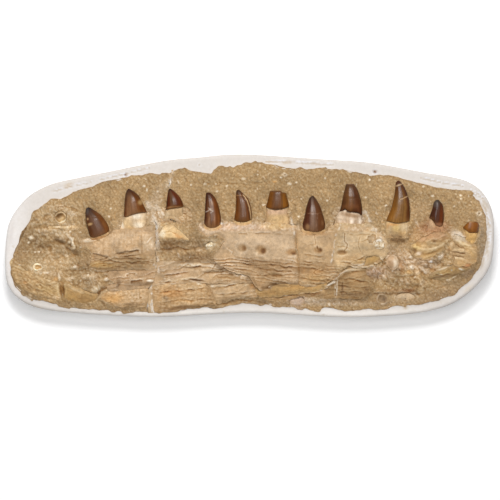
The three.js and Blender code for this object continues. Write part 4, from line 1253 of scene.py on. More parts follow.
def rock_paint(p, colour):
    """The matrix colours: dull yellow brown, pinkish cream in the rubble, grains of their own shade."""
    x, y = p.T
    colour = lay_ovals(colour, p, ROCK_STAINS_AND_SHADE, 81, 1.8)
    small, small_kind = grains(x, y, 2.2, 62)
    colour = colour * (1 + 0.3 * (small_kind - 0.5) * (small > 0.1))[:, None]
    small_chips = (6.0, 67, 0.4, 0.55 + 0.1 * rubble(p))
    large_chips = (8.0, 72, 0.45, 0.5 * rubble(p))
    for size, seed, share, where in (small_chips, large_chips):
        chip, kind = shards(x, y, size, seed, share)
        for low, high, tone, strength in SHARD_TONES:
            colour = lay(colour, tone, chip * where * strength * ((kind >= low) & (kind < high)))
    # pale patches lie over the rubble, its crevices get painted shade, and rusty clouds drift over it
    tops = np.clip(0.9 * rough(x, y, 5.4, 76, 4), 0, 0.4) * rubble(p) ** 1.5
    colour = lay(colour, LUMP_TONE, tops)
    crease_shade = 0.7 * np.clip(-lumps(x + 0.4 * y, y, 6.4, 77, 2) - 0.12, 0, 0.4)
    crease_shade += 0.22 * rough(x, y, 4.6, 78, 4)
    colour = colour * (1 - (crease_shade * rubble(p))[:, None] * np.array([0.9, 1.0, 1.15]))
    rust = 0.4 * np.clip(rough(x, y, 9, 75, 3) - 0.15, 0, 1) * rubble(p)
    colour = lay(colour, RUST_TONE, rust)
    specks = []
    for speck_x, speck_y, half_x, half_y in SPECKS:
        specks.append((speck_x, speck_y, 0.85 * half_x, 0.85 * half_y, 0, SPECK_TONE, 0.85))
    colour = lay_ovals(colour, p, specks, 83, 0.9)
    # painted shade in the hollows and painted light on the high places
    return fill_seams(p, mottle_dust_and_painted_light(colour, p, rock_relief, 82, 0.24, 0.16, 0.4))


print("shades of chips:", len(SHARD_TONES))

# %% [markdown]
# ## Where rock meets bone
# A preparator stops short of the bone, so the rock is banked up against it and laps over its edge
# here and there, with the bone's dust on it. Under a bone the rock stays low, and round each crown
# it is cut back until the whole crown shows.
# %% Banks of rock
# the rock may stand this high beside a crown, in millimetres
TOOTH_CLEAR = 45.3
# millimetres from a bone to where its bank of rock begins to fade, and over which it fades
BANK_FADE = 8


def tooth_clearance(p, heights, slope=0.8):
    """Keeps rock and bone low enough around each crown for the crown's widest line to show."""
    for ring in CROWN_OUTLINES:
        near = near_line(p, ring, 7)
        if near.any():
            away = edge_distance(p[near], ring)
            away[inside(p[near], ring)] = 0
            heights[near] = np.minimum(heights[near], TOOTH_CLEAR + np.clip(away - 0.8, 0, 9) * slope)
    return heights


def bank_up(p, heights, colour):
    """Banks the rock up against each bone, over its edge here and there, with the bone's dust."""
    uneven = 1.5 * rough(*p.T, 7, 88, 4)
    patchy = np.clip(0.55 + 0.8 * rough(*p.T, 5, 89, 3), 0, 1)
    for ring, top, (step, slope), tone in BEDS:
        near = np.flatnonzero(near_line(p, ring, 2 * BANK_FADE))
        if len(near) == 0:
            continue
        q = p[near]
        away = edge_distance(q, ring)
        within_bone = inside(q, ring)
        target = top(q) - step - slope * np.where(within_bone, 0, away) + uneven[near]
        target -= 1.2 * np.where(within_bone, away, 0)
        target -= 5 * np.clip(away / BANK_FADE - 1, 0, 1) ** 2
        heights[near] = np.maximum(heights[near], target)
        dust = 0.75 * patchy[near] * np.where(within_bone, 1, np.exp(-((away / 4.5) ** 2)))
        colour[near] += (tone * 0.88 - colour[near]) * dust[:, None]
    return heights, colour


def keep_under_bones(p, heights):
    """Lowers the rock inside each bone's outline, so that sand only laps over the very edge."""
    for ring, top, _, _ in BEDS:
        near = np.flatnonzero(near_line(p, ring, 1))
        near = near[inside(p[near], ring)]
        if len(near):
            deep = np.clip(edge_distance(p[near], ring) - 0.7, 0, 2.5)
            limit = top(p[near]) - 0.9 - 1.6 * deep
            heights[near] = np.where(deep > 0, np.minimum(heights[near], limit), heights[near])
    return heights


print("a bank of rock reaches", 2 * BANK_FADE, "mm from its bone")

# %% [markdown]
# ## One function for both blocks
# A block fills its outline, rises to its relief, and blends at its ragged edge to the height of
# the plaster, with a thin painted shadow along that edge. Its wall goes down a little inside the
# plaster's bed, out of sight, and is painted darker as shade.
# %% From a block's outline to its body
# height and inset of the rings of a block's wall
ROCK_WALL = ((37, 0.8), (24, 2.4), (12.6, 3.0))


def make_rock(node, ring, seed):
    flat, faces, (border,) = fill([ring], 1.18, seed)
    away = edge_distance(flat, EDGE)
    colour = np.tile(linear(ROCK_TONE), (len(flat), 1))
    heights, colour = bank_up(flat, top_of(node, 7.0)(flat), colour)
    heights = keep_under_bones(flat, heights + rock_relief(flat) + 1.6 * seam_share(flat))
    edge_height = 40.6 + 0.8 * rough(*flat.T, 12, seed + 3, 3)
    blend = np.exp(-((away / 5.0) ** 2))
    heights = tooth_clearance(flat, heights * (1 - blend) + edge_height * blend)
    colour = rock_paint(flat, colour)
    # a thin painted shadow all along the rock's edge, next to the plaster
    dark = (0.16 * np.exp(-((away / 1.2) ** 2)))[:, None]
    colour = colour * (1 - dark * np.array([0.8, 1.0, 1.2]))
    # the wall is painted darker than the top, as painted shade
    edge, edge_colour = flat[border], colour[border] * 0.8
    body = Body()
    body.top(flat, faces, heights, colour)
    body.wall(border, [(edge - outward(edge) * inset, height, edge_colour) for height, inset in ROCK_WALL])
    return body.build(node + "_stone", ROCK, "rock", node)


print("a block's wall has", len(ROCK_WALL), "rings")

# %% [markdown]
# ## Eleven crowns
# Each crown is drawn by four lines, as a maker would cut a template: its tip, its left side, the
# curved line where the enamel ends, and its right side. The sides give the real lean and the real
# chips of each tooth, and the lines are measured from the crown itself.
# %% The outlines of the crowns
# tip, left side from the tip down, foot of the enamel from left to right, right side going up
CROWNS = {
    "tooth_01": (
        [(-194, 32.6), (-192.2, 33.2)],
        [(-195.4, 31), (-196, 27), (-195.8, 22), (-195, 15), (-193.3, 8), (-191.5, 1)],
        [(-189.4, -3), (-186, -3.3), (-180, -1.6), (-174.6, 0.6), (-170.4, 2.3), (-168, 4.4)],
        [(-167.4, 7), (-169, 12), (-172, 17), (-176, 22.4), (-181, 26.7), (-186, 30), (-190, 32.4)],
    ),
    "tooth_02": (
        [(-145.6, 54.4), (-144.2, 55.4), (-143, 55)], [(-147, 52), (-148.5, 46), (-149, 40), (-149.5, 32)],
        [(-150.3, 22), (-147, 21.5), (-141, 24), (-136, 25.5), (-131, 26.5), (-122.5, 27)],
        [(-124, 31), (-126.6, 36.3), (-129.4, 42), (-132.3, 47), (-137.3, 51.6), (-141.4, 54)],
    ),
    "tooth_03": (
        [(-96.4, 54.4), (-95.4, 55.4), (-94.2, 55.2)], [(-97.2, 52), (-98.6, 43.6), (-99.6, 33)],
        [(-100.6, 30), (-96, 31), (-91, 32.7), (-84.5, 32.7), (-78.8, 34)],
        [(-79.5, 38), (-81.7, 43), (-84.5, 47), (-88.7, 51.3), (-92.6, 54.4)],
    ),
    "tooth_04": (
        [(-51.6, 50.2), (-50.6, 50.8), (-46.8, 50.6)],
        [(-52, 48), (-52.6, 40), (-53, 33), (-53.6, 22.4), (-54.2, 15.4)],
        [(-53.5, 13), (-51.3, 10.4), (-46.4, 8.7), (-40, 9.4), (-34.8, 12.5)],
        [(-33.9, 19), (-34.4, 24), (-35.8, 31), (-37.6, 37), (-40, 43), (-43.6, 47.8)],
    ),
    "tooth_05": (
        [(-15.4, 53), (-13.4, 54), (-11.4, 53.4)], [(-15.9, 50.6), (-16.1, 39), (-16.6, 29), (-18.1, 20)],
        [(-17.6, 17.4), (-13.7, 16), (-8.3, 15.4), (-2.3, 16.2), (2.4, 18.6)],
        [(3.5, 21), (2.4, 30), (1.2, 36), (-1.6, 43.4), (-6.6, 48.6)],
    ),
    "tooth_06": (
        [(25.2, 52.4), (26, 53), (31, 52.6), (37.4, 52.9), (38.4, 51.6), (39.4, 50.8), (43, 50.6)],
        [(24.3, 51.3), (23, 46.4), (21.5, 40), (20, 35)],
        [(19.7, 33.4), (24, 31.5), (31.7, 30.3), (39.5, 31.2), (43.7, 32.7), (47, 33.4)],
        [(47.4, 35), (46.5, 40), (45, 45), (44, 49.6)],
    ),
    "tooth_07": (
        [(74, 46.2), (75, 47.1), (76.2, 46.8)],
        [(72, 44.3), (70.2, 40), (68, 33), (66.6, 26), (65, 19), (63.5, 13.3)],
        [(63.8, 9), (65.6, 6), (70.5, 5), (77.6, 3.7), (84.6, 4.4), (89.2, 6.2)],
        [(90.6, 10.4), (90, 16.8), (87.4, 26), (84.6, 34.4), (81, 40.8), (77.6, 45.7)],
    ),
    "tooth_08": (
        [(115.6, 60.2), (116.6, 61), (123.8, 61), (125.4, 59.8)],
        [(114.8, 57.7), (113, 50.6), (111.3, 43.6), (110, 36.5), (108.8, 31.6)],
        [(107.6, 28), (110, 28.8), (112.7, 30.5), (114.5, 31), (116, 29.5), (118.3, 27.7), (128, 27.4),
         (131, 26.3), (133, 23.8), (134.7, 24.2)],
        [(135, 29.5), (134.2, 36.5), (132.8, 43.6), (131, 50), (129, 55), (126.6, 58.4)],
    ),
    "tooth_09": (
        [(175.2, 62.8), (176.4, 64.2), (178.3, 65), (180.4, 64)],
        [(175, 62), (174.4, 57.7), (173.7, 50.6), (172.6, 45), (171, 38.6), (169.5, 32), (167, 26),
         (164.5, 20)],
        [(163.7, 16.4), (168, 16), (172, 15), (177.6, 14.3), (183, 15), (188, 16), (191.5, 17)],
        [(192, 24), (191.8, 31), (191.3, 38), (190, 45), (187.8, 51.3), (185.3, 57), (182.5, 61.6)],
    ),
    "tooth_10": (
        [(221.4, 40.4), (223.8, 42), (226, 41.8), (228, 40)],
        [(220.3, 38.6), (219.3, 34.4), (218, 29.5), (216, 24.5)],
        [(214.7, 20.3), (217, 19.4), (219.6, 18.6), (220.9, 14.4), (223, 11.8), (227.4, 10.4), (231, 11.5)],
        [(232.2, 17), (232.3, 24), (232, 29.5), (231, 36)],
    ),
    "tooth_11": (
        [(257.7, 11.8), (261, 15), (264, 16.4), (271, 15.7), (273.6, 14.3)], [(255.6, 9.6), (255.2, 8.6)],
        [(256, 7.6), (260, 4.8), (263.3, 2.7), (273, 2.7)], [(274, 7), (274.5, 11.8)],
    ),
}


def outline_of_crown(name):
    tip, left, foot, right = CROWNS[name]
    return np.array(tip[::-1] + left + foot + right, float)


CROWN_OUTLINES = [outline_of_crown(name) for name in CROWNS]
print("crowns drawn:", len(CROWN_OUTLINES))

# %% [markdown]
# ## A surface between four lines
# A patch that blends four border lines, known as a Coons patch, keeps every measured border exact
# and fills the middle smoothly. Each row of the patch is then raised to an oval section, with the
# crown's two keels at the sides, and a half like it closes it below, inside the rock.
# %% Crowns and roots from four lines
# height of the teeth's middle line and the most that a crown rises above it, in millimetres
TOOTH_AXIS, THICKEST = 46.4, 8.4
# points of a ring from one keel of a crown to the other
HALF_POINTS = 36


def along(line, t):
    """Places at shares of a line's length."""
    line = resample(line, 0.4, closed=False) if len(line) > 2 else np.asarray(line, float)
    walked = np.concatenate([[0], np.cumsum(np.hypot(*np.diff(line, axis=0).T))])
    return np.column_stack([np.interp(t * walked[-1], walked, line[:, k]) for k in (0, 1)])


def patch(tip, left, foot, right, u, v):
    """Places of the patch for u from left to right and v from tip to foot."""
    left_line = [tip[0]] + left + [foot[0]]
    right_line = [foot[-1]] + right + [tip[-1]]
    a, b = along(left_line, v), along(right_line[::-1], v)
    top, low = along(tip, u), along(foot, u)
    uu, vv = u[:, None], v[:, None]
    corners = (
        np.array(tip[0]) * (1 - uu) * (1 - vv) + np.array(tip[-1]) * uu * (1 - vv)
        + np.array(foot[0]) * (1 - uu) * vv + np.array(foot[-1]) * uu * vv
    )
    return a * (1 - uu) + b * uu + top * (1 - vv) + low * vv - corners


def tooth_body(lines, step, depth, section, relief, paint, ragged=0.0, sink=0.0):
    """A closed body over a patch: paint and relief see plan places, u and v. Its tip end may sink."""
    tip, left, foot, right = lines
    length = np.hypot(*(np.mean(tip, axis=0) - np.mean(foot, axis=0)))
    rows = max(8, int(length / step))
    angle = np.linspace(0, 2 * math.pi, HALF_POINTS * 2, endpoint=False)
    share = (1 - np.cos(angle)) / 2
    upper = np.sin(angle) >= 0
    body = Body()
    previous = first = None
    for v in np.linspace(0, 1, rows + 1):
        here = patch(tip, left, foot, right, share, np.full(len(share), v))
        here = here + ragged * v * np.column_stack([rough(*here.T, 5, seed, 3) for seed in (401, 402)])
        width = np.hypot(*(here[0] - here[HALF_POINTS]))
        tall = depth(v, width)
        across = np.abs(2 * share - 1)
        form = (1 - across ** section) ** 0.5
        axis = TOOTH_AXIS - sink * math.exp(-v / 0.14)
        z = np.where(upper, axis + tall * form, axis - tall * form)
        z = z + relief(here, share, v) * upper * form
        numbers = body.add(here, z, paint(here, share, v))
        if first is None:
            first = numbers
        else:
            body.band(previous, numbers)
        previous = numbers
    body.faces.append(first[::-1].tolist())
    body.faces.append(previous.tolist())
    return body


print("the tallest crown is", THICKEST, "mm thick above its axis")

# %% [markdown]
# ## Crown enamel, one tooth after another
# Every crown is darker at its keels, where painted shade runs along both edges, and towards the
# tip, with a mauve to brown middle that is partly the enamel's colour and partly a painted sheen.
# What makes each its own tooth are the cracks and the chips, so these come from short lists.
# %% Marks of the crowns
# left side, middle, right side, tip and foot colours, where the middle begins and ends, reach of the tip
# the middle colour is partly the enamel's own and partly a painted sheen of the lamp above
CROWN_TONES_AND_SHEEN = {
    "tooth_01": ((104, 64, 34), (110, 78, 62), (120, 74, 40), (62, 56, 54), (142, 98, 68), 0.2, 0.72, 0.26),
    "tooth_02": ((108, 62, 26), (138, 98, 70), (120, 72, 26), (72, 46, 32), (148, 110, 78), 0.12, 0.62, 0.36),
    "tooth_03": ((96, 52, 20), (104, 72, 54), (102, 56, 24), (68, 50, 42), (150, 100, 58), 0.24, 0.56, 0.18),
    "tooth_04": ((90, 54, 32), (114, 77, 56), (118, 70, 34), (78, 50, 34), (160, 116, 78), 0.2, 0.65, 0.22),
    "tooth_05": ((116, 70, 30), (112, 76, 56), (118, 70, 34), (82, 64, 54), (134, 92, 54), 0.22, 0.7, 0.16),
    "tooth_06": ((128, 80, 32), (115, 78, 56), (136, 87, 37), (106, 76, 56), (96, 62, 36), 0.24, 0.68, 0.08),
    "tooth_07": ((92, 56, 35), (127, 96, 77), (110, 70, 45), (74, 60, 54), (132, 94, 66), 0.34, 0.6, 0.2),
    "tooth_08": ((100, 66, 40), (120, 80, 50), (104, 64, 38), (92, 66, 52), (88, 56, 34), 0.22, 0.6, 0.3),
    "tooth_09": ((144, 96, 48), (139, 99, 60), (104, 62, 32), (86, 52, 34), (158, 114, 70), 0.25, 0.82, 0.4),
    "tooth_10": ((84, 54, 34), (90, 57, 38), (116, 64, 32), (72, 62, 54), (150, 104, 70), 0.3, 0.72, 0.22),
    "tooth_11": ((146, 92, 48), (142, 90, 52), (134, 84, 48), (116, 76, 46), (140, 90, 48), 0.3, 0.7, 0.1),
}
SPLINTER = (206, 174, 128)
# chips, dark places and lights on the crowns, as a list of stains; the grey patches near the
# tips of the first and tenth crowns are painted sheen
CROWN_CHIPS_AND_SHEEN = [
    (-193, 19, 1.0, 1.4, 0, (190, 150, 104), 0.9), (-190, 12.8, 2.6, 1.5, 20, (198, 158, 108), 0.9),
    (-173, 14, 2, 5, 25, (130, 84, 44), 0.5), (-130, 39.2, 2.6, 3.2, -35, (170, 134, 86), 0.9),
    (-46, 30.5, 2.0, 1.6, 0, (176, 146, 120), 0.5), (-44.6, 37.7, 1.6, 2.6, 10, (158, 118, 84), 0.6),
    (-37, 20, 1.4, 8, 5, (140, 84, 36), 0.4), (69.6, 9.4, 2.4, 3.0, 0, (156, 114, 74), 0.75),
    (87, 14, 1.4, 3, 0, (132, 94, 58), 0.5), (178.6, 59.6, 4.4, 0.9, 22, (186, 156, 118), 0.85),
    (226, 11.5, 6, 2.4, 0, (166, 114, 80), 0.8), (223, 37, 3, 4, 0, (104, 96, 90), 0.4),
    (-193.6, 28, 1.4, 4, 0, (98, 88, 82), 0.5), (264, 15.4, 5, 0.8, 5, (190, 150, 106), 0.6),
    (121, 34, 8, 3, 0, (124, 76, 38), 0.5), (119, 61, 5, 0.7, 0, (160, 126, 96), 0.5),
    (32, 53, 7, 0.5, 0, (160, 126, 94), 0.5), (-48, 16, 0.9, 6, 0, (164, 122, 88), 0.5),
    (-41.4, 17, 0.9, 7, 0, (160, 114, 78), 0.5), (-90, 33.2, 8, 1.0, 5, (168, 122, 78), 0.6),
]
# depth of three of the chips, then middle, half sizes and turn
CHIPPED = (
    (0.6, (-130, 39.2, 2.4, 3.2, -35)), (0.4, (-190, 12.8, 3, 1.8, 20)), (0.4, (178.6, 59.6, 4.4, 1.0, 22)),
)
# line, width, depth, colour and strength
CROWN_CRACKS = [
    ([(-52.4, 27.4), (-49, 28.6), (-46, 31.6)], 0.25, 0.2, WHITE, 0.45),
    ([(-49, 32), (-43.4, 28.8), (-46.4, 26.4)], 0.25, 0.2, WHITE, 0.4),
    ([(-15.6, 47), (-12, 47.6), (-8.6, 46.4)], 0.25, 0.2, (176, 128, 80), 0.6),
    ([(70, 25.4), (76, 26), (80, 25.2), (86.6, 26.4)], 0.25, 0.2, (156, 116, 84), 0.5),
    ([(81, 25), (80.6, 15), (81, 5)], 0.3, 0.2, (150, 116, 92), 0.45),
    ([(179.3, 42.1), (184, 43.8), (190, 46.8)], 0.4, 0.35, (204, 170, 126), 0.9),
    ([(179, 42), (178.4, 30), (179.4, 17)], 0.25, 0.2, UMBER, 0.4),
    ([(-188, 22), (-181, 21), (-175, 22)], 0.25, 0.2, UMBER, 0.25),
    ([(112, 44), (120, 43), (133, 44)], 0.25, 0.2, UMBER, 0.3),
    ([(33.4, 52), (33.6, 42), (33.2, 31)], 0.3, 0.2, UMBER, 0.4),
    ([(39.2, 51), (39.6, 41), (39.8, 32)], 0.35, 0.3, UMBER, 0.6),
    ([(2.2, 19), (0.2, 32), (-2.3, 40.6), (-7.3, 47.6)], 0.5, 0.0, SPLINTER, 1.0),
    ([(0.6, 19), (-1.6, 31), (-4.2, 40), (-9, 47)], 0.35, 0.7, (60, 38, 24), 0.8),
]
print("chips and cracks of the crowns:", len(CROWN_CHIPS_AND_SHEEN) + len(CROWN_CRACKS))

# %% [markdown]
# ## From marks to crowns
# The tones go over into one another across the crown and up to its tip, fine streaks run along
# it, and the cracks are cut in. The pigment is chosen darker than the enamel looks, because the
# lamps lay a haze on it.
# %% The eleven crowns
# the linear light that the lamps' reflection adds to a crown
ENAMEL_HAZE = 0.024
# share of a crown's width over which one tone turns into the next
BLEND = 0.13


def crown_relief(p, u, v):
    """Fine lengthwise ridges, the cracks, and the chips."""
    z = 0.10 * noise(u * 26, np.full(len(u), v * 5), 91) + 0.12 * noise(u * 9, np.full(len(u), v * 3), 92)
    for line, width, depth, *_ in CROWN_CRACKS:
        z += groove(p, line, width + 0.2, depth, 0.4)
    for depth, place in CHIPPED:
        z -= depth * within(p, *place)
    return z


def under_haze(tone):
    """The pigment of a tone: darker than it looks, because the lamps lay a thin haze on enamel."""
    light = linear(tone)
    same_hue = light * max(1 - ENAMEL_HAZE / light.mean(), 0.2)
    share = np.array([0.5, 0.5, 0.2])
    return share * same_hue + (1 - share) * np.maximum(light - ENAMEL_HAZE, 0.32 * light)


def crown_paint(name):
    *tones, first, last, reach = CROWN_TONES_AND_SHEEN[name]
    left, middle, right, tip, foot = [under_haze(tone) for tone in tones]
    seed = 100 + int(name[-2:])

    def paint(p, u, v):
        border = 0.03 * noise(np.full(len(u), v * 9.0), u * 3, seed + 3)
        colour = left + (middle - left) * np.clip((u + border - first) / BLEND + 0.5, 0, 1)[:, None]
        colour = colour + (right - colour) * np.clip((u + border - last) / BLEND + 0.5, 0, 1)[:, None]
        colour = colour + (tip - colour) * 0.9 * math.exp(-((v / reach) ** 2))
        colour = colour + (foot - colour) * math.exp(-(1 - v) / 0.06) * 0.6
        streaks = noise(u * 34, np.full(len(u), v * 3 + seed), seed)
        streaks += 0.7 * noise(u * 13, np.full(len(u), v * 2.5), seed + 1)
        colour = colour * (1 + (0.12 + 0.12 * v) * streaks[:, None] * np.array([0.9, 1.0, 1.05]))
        # painted shade along both edges of the crown
        outline = 0.6 * np.exp(-np.minimum(u, 1 - u) / 0.035)
        colour = colour * (1 - outline[:, None] * np.array([0.8, 1.0, 1.1]))
        colour = lay_ovals(colour, p, CROWN_CHIPS_AND_SHEEN, seed, 0.7)
        for line, width, _, tone, strength in CROWN_CRACKS:
            colour = lay(colour, tone, groove(p, line, width + 0.1, -strength, 0.4))
        return colour * mottle(p, seed, 0.2, 0.14)

    return paint


def crown_depth(name):
    tip, left, foot, right = CROWNS[name]
    blunt = np.hypot(*(np.array(tip[0]) - np.array(tip[-1]))) > 4

    def depth(v, width):
        tall = min(0.8 * width / 2, THICKEST) * (1 - 0.16 * v**3 - 0.16 * math.exp((v - 1) / 0.04))
        return tall * (0.75 + 0.25 * min(1, v / 0.08)) if blunt else tall

    return depth


def make_crown(name):
    body = tooth_body(CROWNS[name], 0.55, crown_depth(name), 2.3, crown_relief, crown_paint(name))
    return body.build(name + "_crown", ENAMEL, "tooth", name)


for tooth in CROWNS:
    make_crown(tooth)

# %% [markdown]
# ## Roots
# Below its enamel each tooth is porous bone, cream to yellow, with long furrows, and it swells
# where it joins the jaw. The same patch makes it, a little wider than the crown but flatter, and
# its foot sinks into the jaw.
# %% Places and colours of the roots
# left side, foot, right side going up, colour, stains, thickness and, for some, how far the foot sinks
ROOTS = {
    "tooth_01": (
        [(-190.8, -4)], [(-190, -7.6), (-182, -6), (-173, -3), (-165, 1.5)], [(-166.4, 3)], (198, 160, 112),
        [(-180, -3.5, 10, 1.6, 17, (176, 118, 66), 0.7)], 0.9,
    ),
    "tooth_02": (
        [(-153, 16), (-155.4, 9)], [(-157.4, 2), (-146, 2), (-135, 2.4), (-124, 4)],
        [(-122.6, 10), (-121.8, 20)], (210, 181, 144),
        [(-134, 22.5, 6, 3.2, 0, (236, 222, 198), 0.8), (-131.5, 11.5, 5.5, 3.6, 0, (236, 220, 194), 0.8),
         (-146, 13, 5, 8, 8, (212, 176, 124), 0.7), (-152, 13, 1.2, 9, 12, (234, 218, 192), 0.8),
         (-140, 4.6, 17, 3.4, 3, (204, 168, 126), 0.85), (-126, 16, 3, 8, 0, (206, 176, 134), 0.6),
         (-143, 9, 6, 2.0, 0, (202, 160, 104), 0.6)],
        0.92,
    ),
    "tooth_03": (
        [(-101.6, 28)], [(-101, 18), (-94, 17), (-86, 18), (-79, 20)], [(-78.4, 28)], (198, 165, 122),
        [(-90, 30.6, 11, 1.2, 5, (206, 174, 132), 0.7), (-98, 24, 3, 3, 20, (226, 200, 162), 0.6),
         (-84, 25, 5, 2, -10, (182, 148, 106), 0.6)],
        0.62, 4.0,
    ),
    "tooth_04": (
        [(-55.6, 9)], [(-57, 3), (-48, 1.4), (-40, 1.6), (-33, 4)], [(-32.6, 9)], (206, 168, 118),
        [(-44, 8, 9, 1.6, 0, (196, 146, 92), 0.6), (-44, 4, 9, 3, 0, (220, 190, 150), 0.6)], 0.9,
    ),
    "tooth_05": (
        [(-19.6, 14)], [(-20, 7), (-12, 5), (-2, 5), (6, 8)], [(4.4, 14)], (210, 174, 124),
        [(-8, 13, 10, 1.4, 3, (200, 152, 96), 0.6), (-8, 9, 10, 3.4, 0, (222, 194, 156), 0.6)], 0.92,
    ),
    "tooth_06": (
        [(19.6, 25), (17.6, 18)], [(13, 6), (26, 4), (40, 4), (52, 5)], [(48.6, 15), (46.8, 26)],
        (191, 157, 114),
        [(32, 27.5, 13, 3.4, 0, (208, 170, 140), 0.7), (34, 18, 12, 6, 0, (204, 168, 116), 0.7),
         (28, 13, 1.0, 0.9, 0, UMBER, 0.9), (42, 13, 1.0, 0.9, 0, UMBER, 0.9),
         (47, 27, 1.0, 2.4, 10, UMBER, 0.6), (22, 22, 1.4, 5, 5, (176, 132, 84), 0.5),
         (26, 8, 8, 2, 0, (222, 192, 152), 0.6)],
        0.93,
    ),
    "tooth_07": (
        [(62, 7)], [(60, 1), (70, -0.6), (82, -0.4), (93, 2)], [(92.4, 6)], (206, 170, 122),
        [(77, 3.4, 13, 1.4, 0, (190, 140, 84), 0.6)], 0.9,
    ),
    "tooth_08": (
        [(104, 24), (100.6, 16)], [(98, 7), (112, 5), (126, 5), (141, 6)], [(139, 13), (136.6, 20)],
        (205, 180, 152),
        [(121, 23.4, 11, 2.6, -8, (150, 116, 82), 0.95), (104, 14, 2.4, 8, 8, (196, 166, 128), 0.7),
         (112, 14, 1.2, 6, 4, (186, 150, 112), 0.6), (117, 15, 0.9, 6, 2, (190, 154, 116), 0.6),
         (122, 14, 1.0, 6, 0, (240, 226, 208), 0.6), (127, 14, 1.0, 6, -2, (188, 150, 112), 0.6),
         (132, 14, 1.2, 6, -4, (240, 224, 204), 0.6), (136, 13, 2, 6, -8, (196, 160, 118), 0.6),
         (124, 7, 14, 1.6, 0, (186, 148, 104), 0.7), (113.3, 30, 1.6, 1.2, 0, (238, 226, 206), 0.9)],
        0.8,
    ),
    "tooth_09": (
        [(161.4, 12), (161, 6)], [(163, -3.4), (172, -4), (182, -4), (189, -3)], [(190, 5), (191, 12)],
        (202, 168, 120),
        [(172, 12.2, 6, 1.6, 0, (206, 140, 66), 0.75), (166, 9, 2, 3, 20, (206, 148, 84), 0.7),
         (176, 8, 6, 4, 0, (226, 190, 124), 0.75), (188.6, 6, 1.4, 8, 0, (176, 152, 120), 0.7),
         (184, 9, 5, 4, 20, (222, 198, 160), 0.6), (168, 4, 3, 7, 0, (212, 184, 144), 0.6),
         # the last oval is a painted shadow below the root
         (182, 2, 5, 3, 0, (196, 156, 104), 0.6), (176, -1.5, 9, 2.0, 0, (166, 132, 94), 0.7)],
        0.72, 4.4,
    ),
    "tooth_10": (
        [(213, 15)], [(211, 6), (222, 3.4), (229, 3.4), (237, 6)], [(234, 10)], (184, 144, 104),
        [(226, 8, 8, 3, 0, (178, 126, 88), 0.6), (217, 12, 4, 5, 20, (192, 158, 122), 0.6)], 0.45,
    ),
    "tooth_11": (
        [(257.4, 2)], [(259, -8.6), (263, -10), (267, -10), (270.4, -9)], [(272, -2)], (206, 166, 108),
        [(265, -4, 5, 6, 0, (200, 156, 92), 0.6)], 0.8,
    ),
}


print("roots described:", len(ROOTS))

# %% [markdown]
# ## From the list to the roots
# A root begins just under the foot of its crown, so no gap opens between them, and it joins the
# list of pieces that the rock is banked against.
# %% The eleven roots
def root_relief(p, u, v):
    """Long furrows and small pits."""
    z = 0.4 * noise(u * 13, np.full(len(u), v * 1.6), 93) + 0.55 * rough(*p.T, 4, 94, 4)
    return z + 0.2 * noise(u * 30, np.full(len(u), v * 3), 95)


def make_root(name):
    left, foot, right, tone, stains_and_painted_light, share, *sinking = ROOTS[name]
    sinking = sinking[0] if sinking else 1.6
    tip, _, enamel_foot, _ = [np.array(line, float) for line in CROWNS[name]]
    towards_tip = tip.mean(axis=0) - enamel_foot.mean(axis=0)
    top = [tuple(place) for place in enamel_foot + 0.9 * towards_tip / np.hypot(*towards_tip)]
    seed = 130 + int(name[-2:])

    def depth(v, width):
        rim = 1 - 0.4 * math.exp(-v / 0.09)
        return min(0.7 * width / 2, 5.6) * rim * share - sinking * v**2

    def paint(p, u, v):
        colour = np.tile(linear(tone), (len(p), 1))
        colour = lay_ovals(colour, p, stains_and_painted_light, seed, 1.0)
        furrows = noise(u * 24, np.full(len(u), v * 2), seed)
        furrows += 0.8 * noise(u * 11, np.full(len(u), v * 1.5), seed + 4)
        strength = 0.2 if name == "tooth_08" else 0.12
        colour = colour * (1 + strength * furrows[:, None] * np.array([1, 1.2, 1.5]))
        # painted shade along both sides of the root
        edge = (0.35 * np.abs(2 * u - 1) ** 8)[:, None]
        return colour * (1 - edge) * mottle(p, seed, 0.26, 0.24)

    body = tooth_body((top, left, foot, right), 0.7, depth, 2.4, root_relief, paint, 5.0, 1.2)
    outline = anticlockwise(np.array(top[::-1] + left + foot + right, float))
    BEDS.append((outline, lambda p: np.full(len(p), TOOTH_AXIS + 5.0 * share), (0.8, 0.9), linear(tone)))
    return body.build(name + "_root", BONE, "bone")


for tooth in ROOTS:
    make_root(tooth)

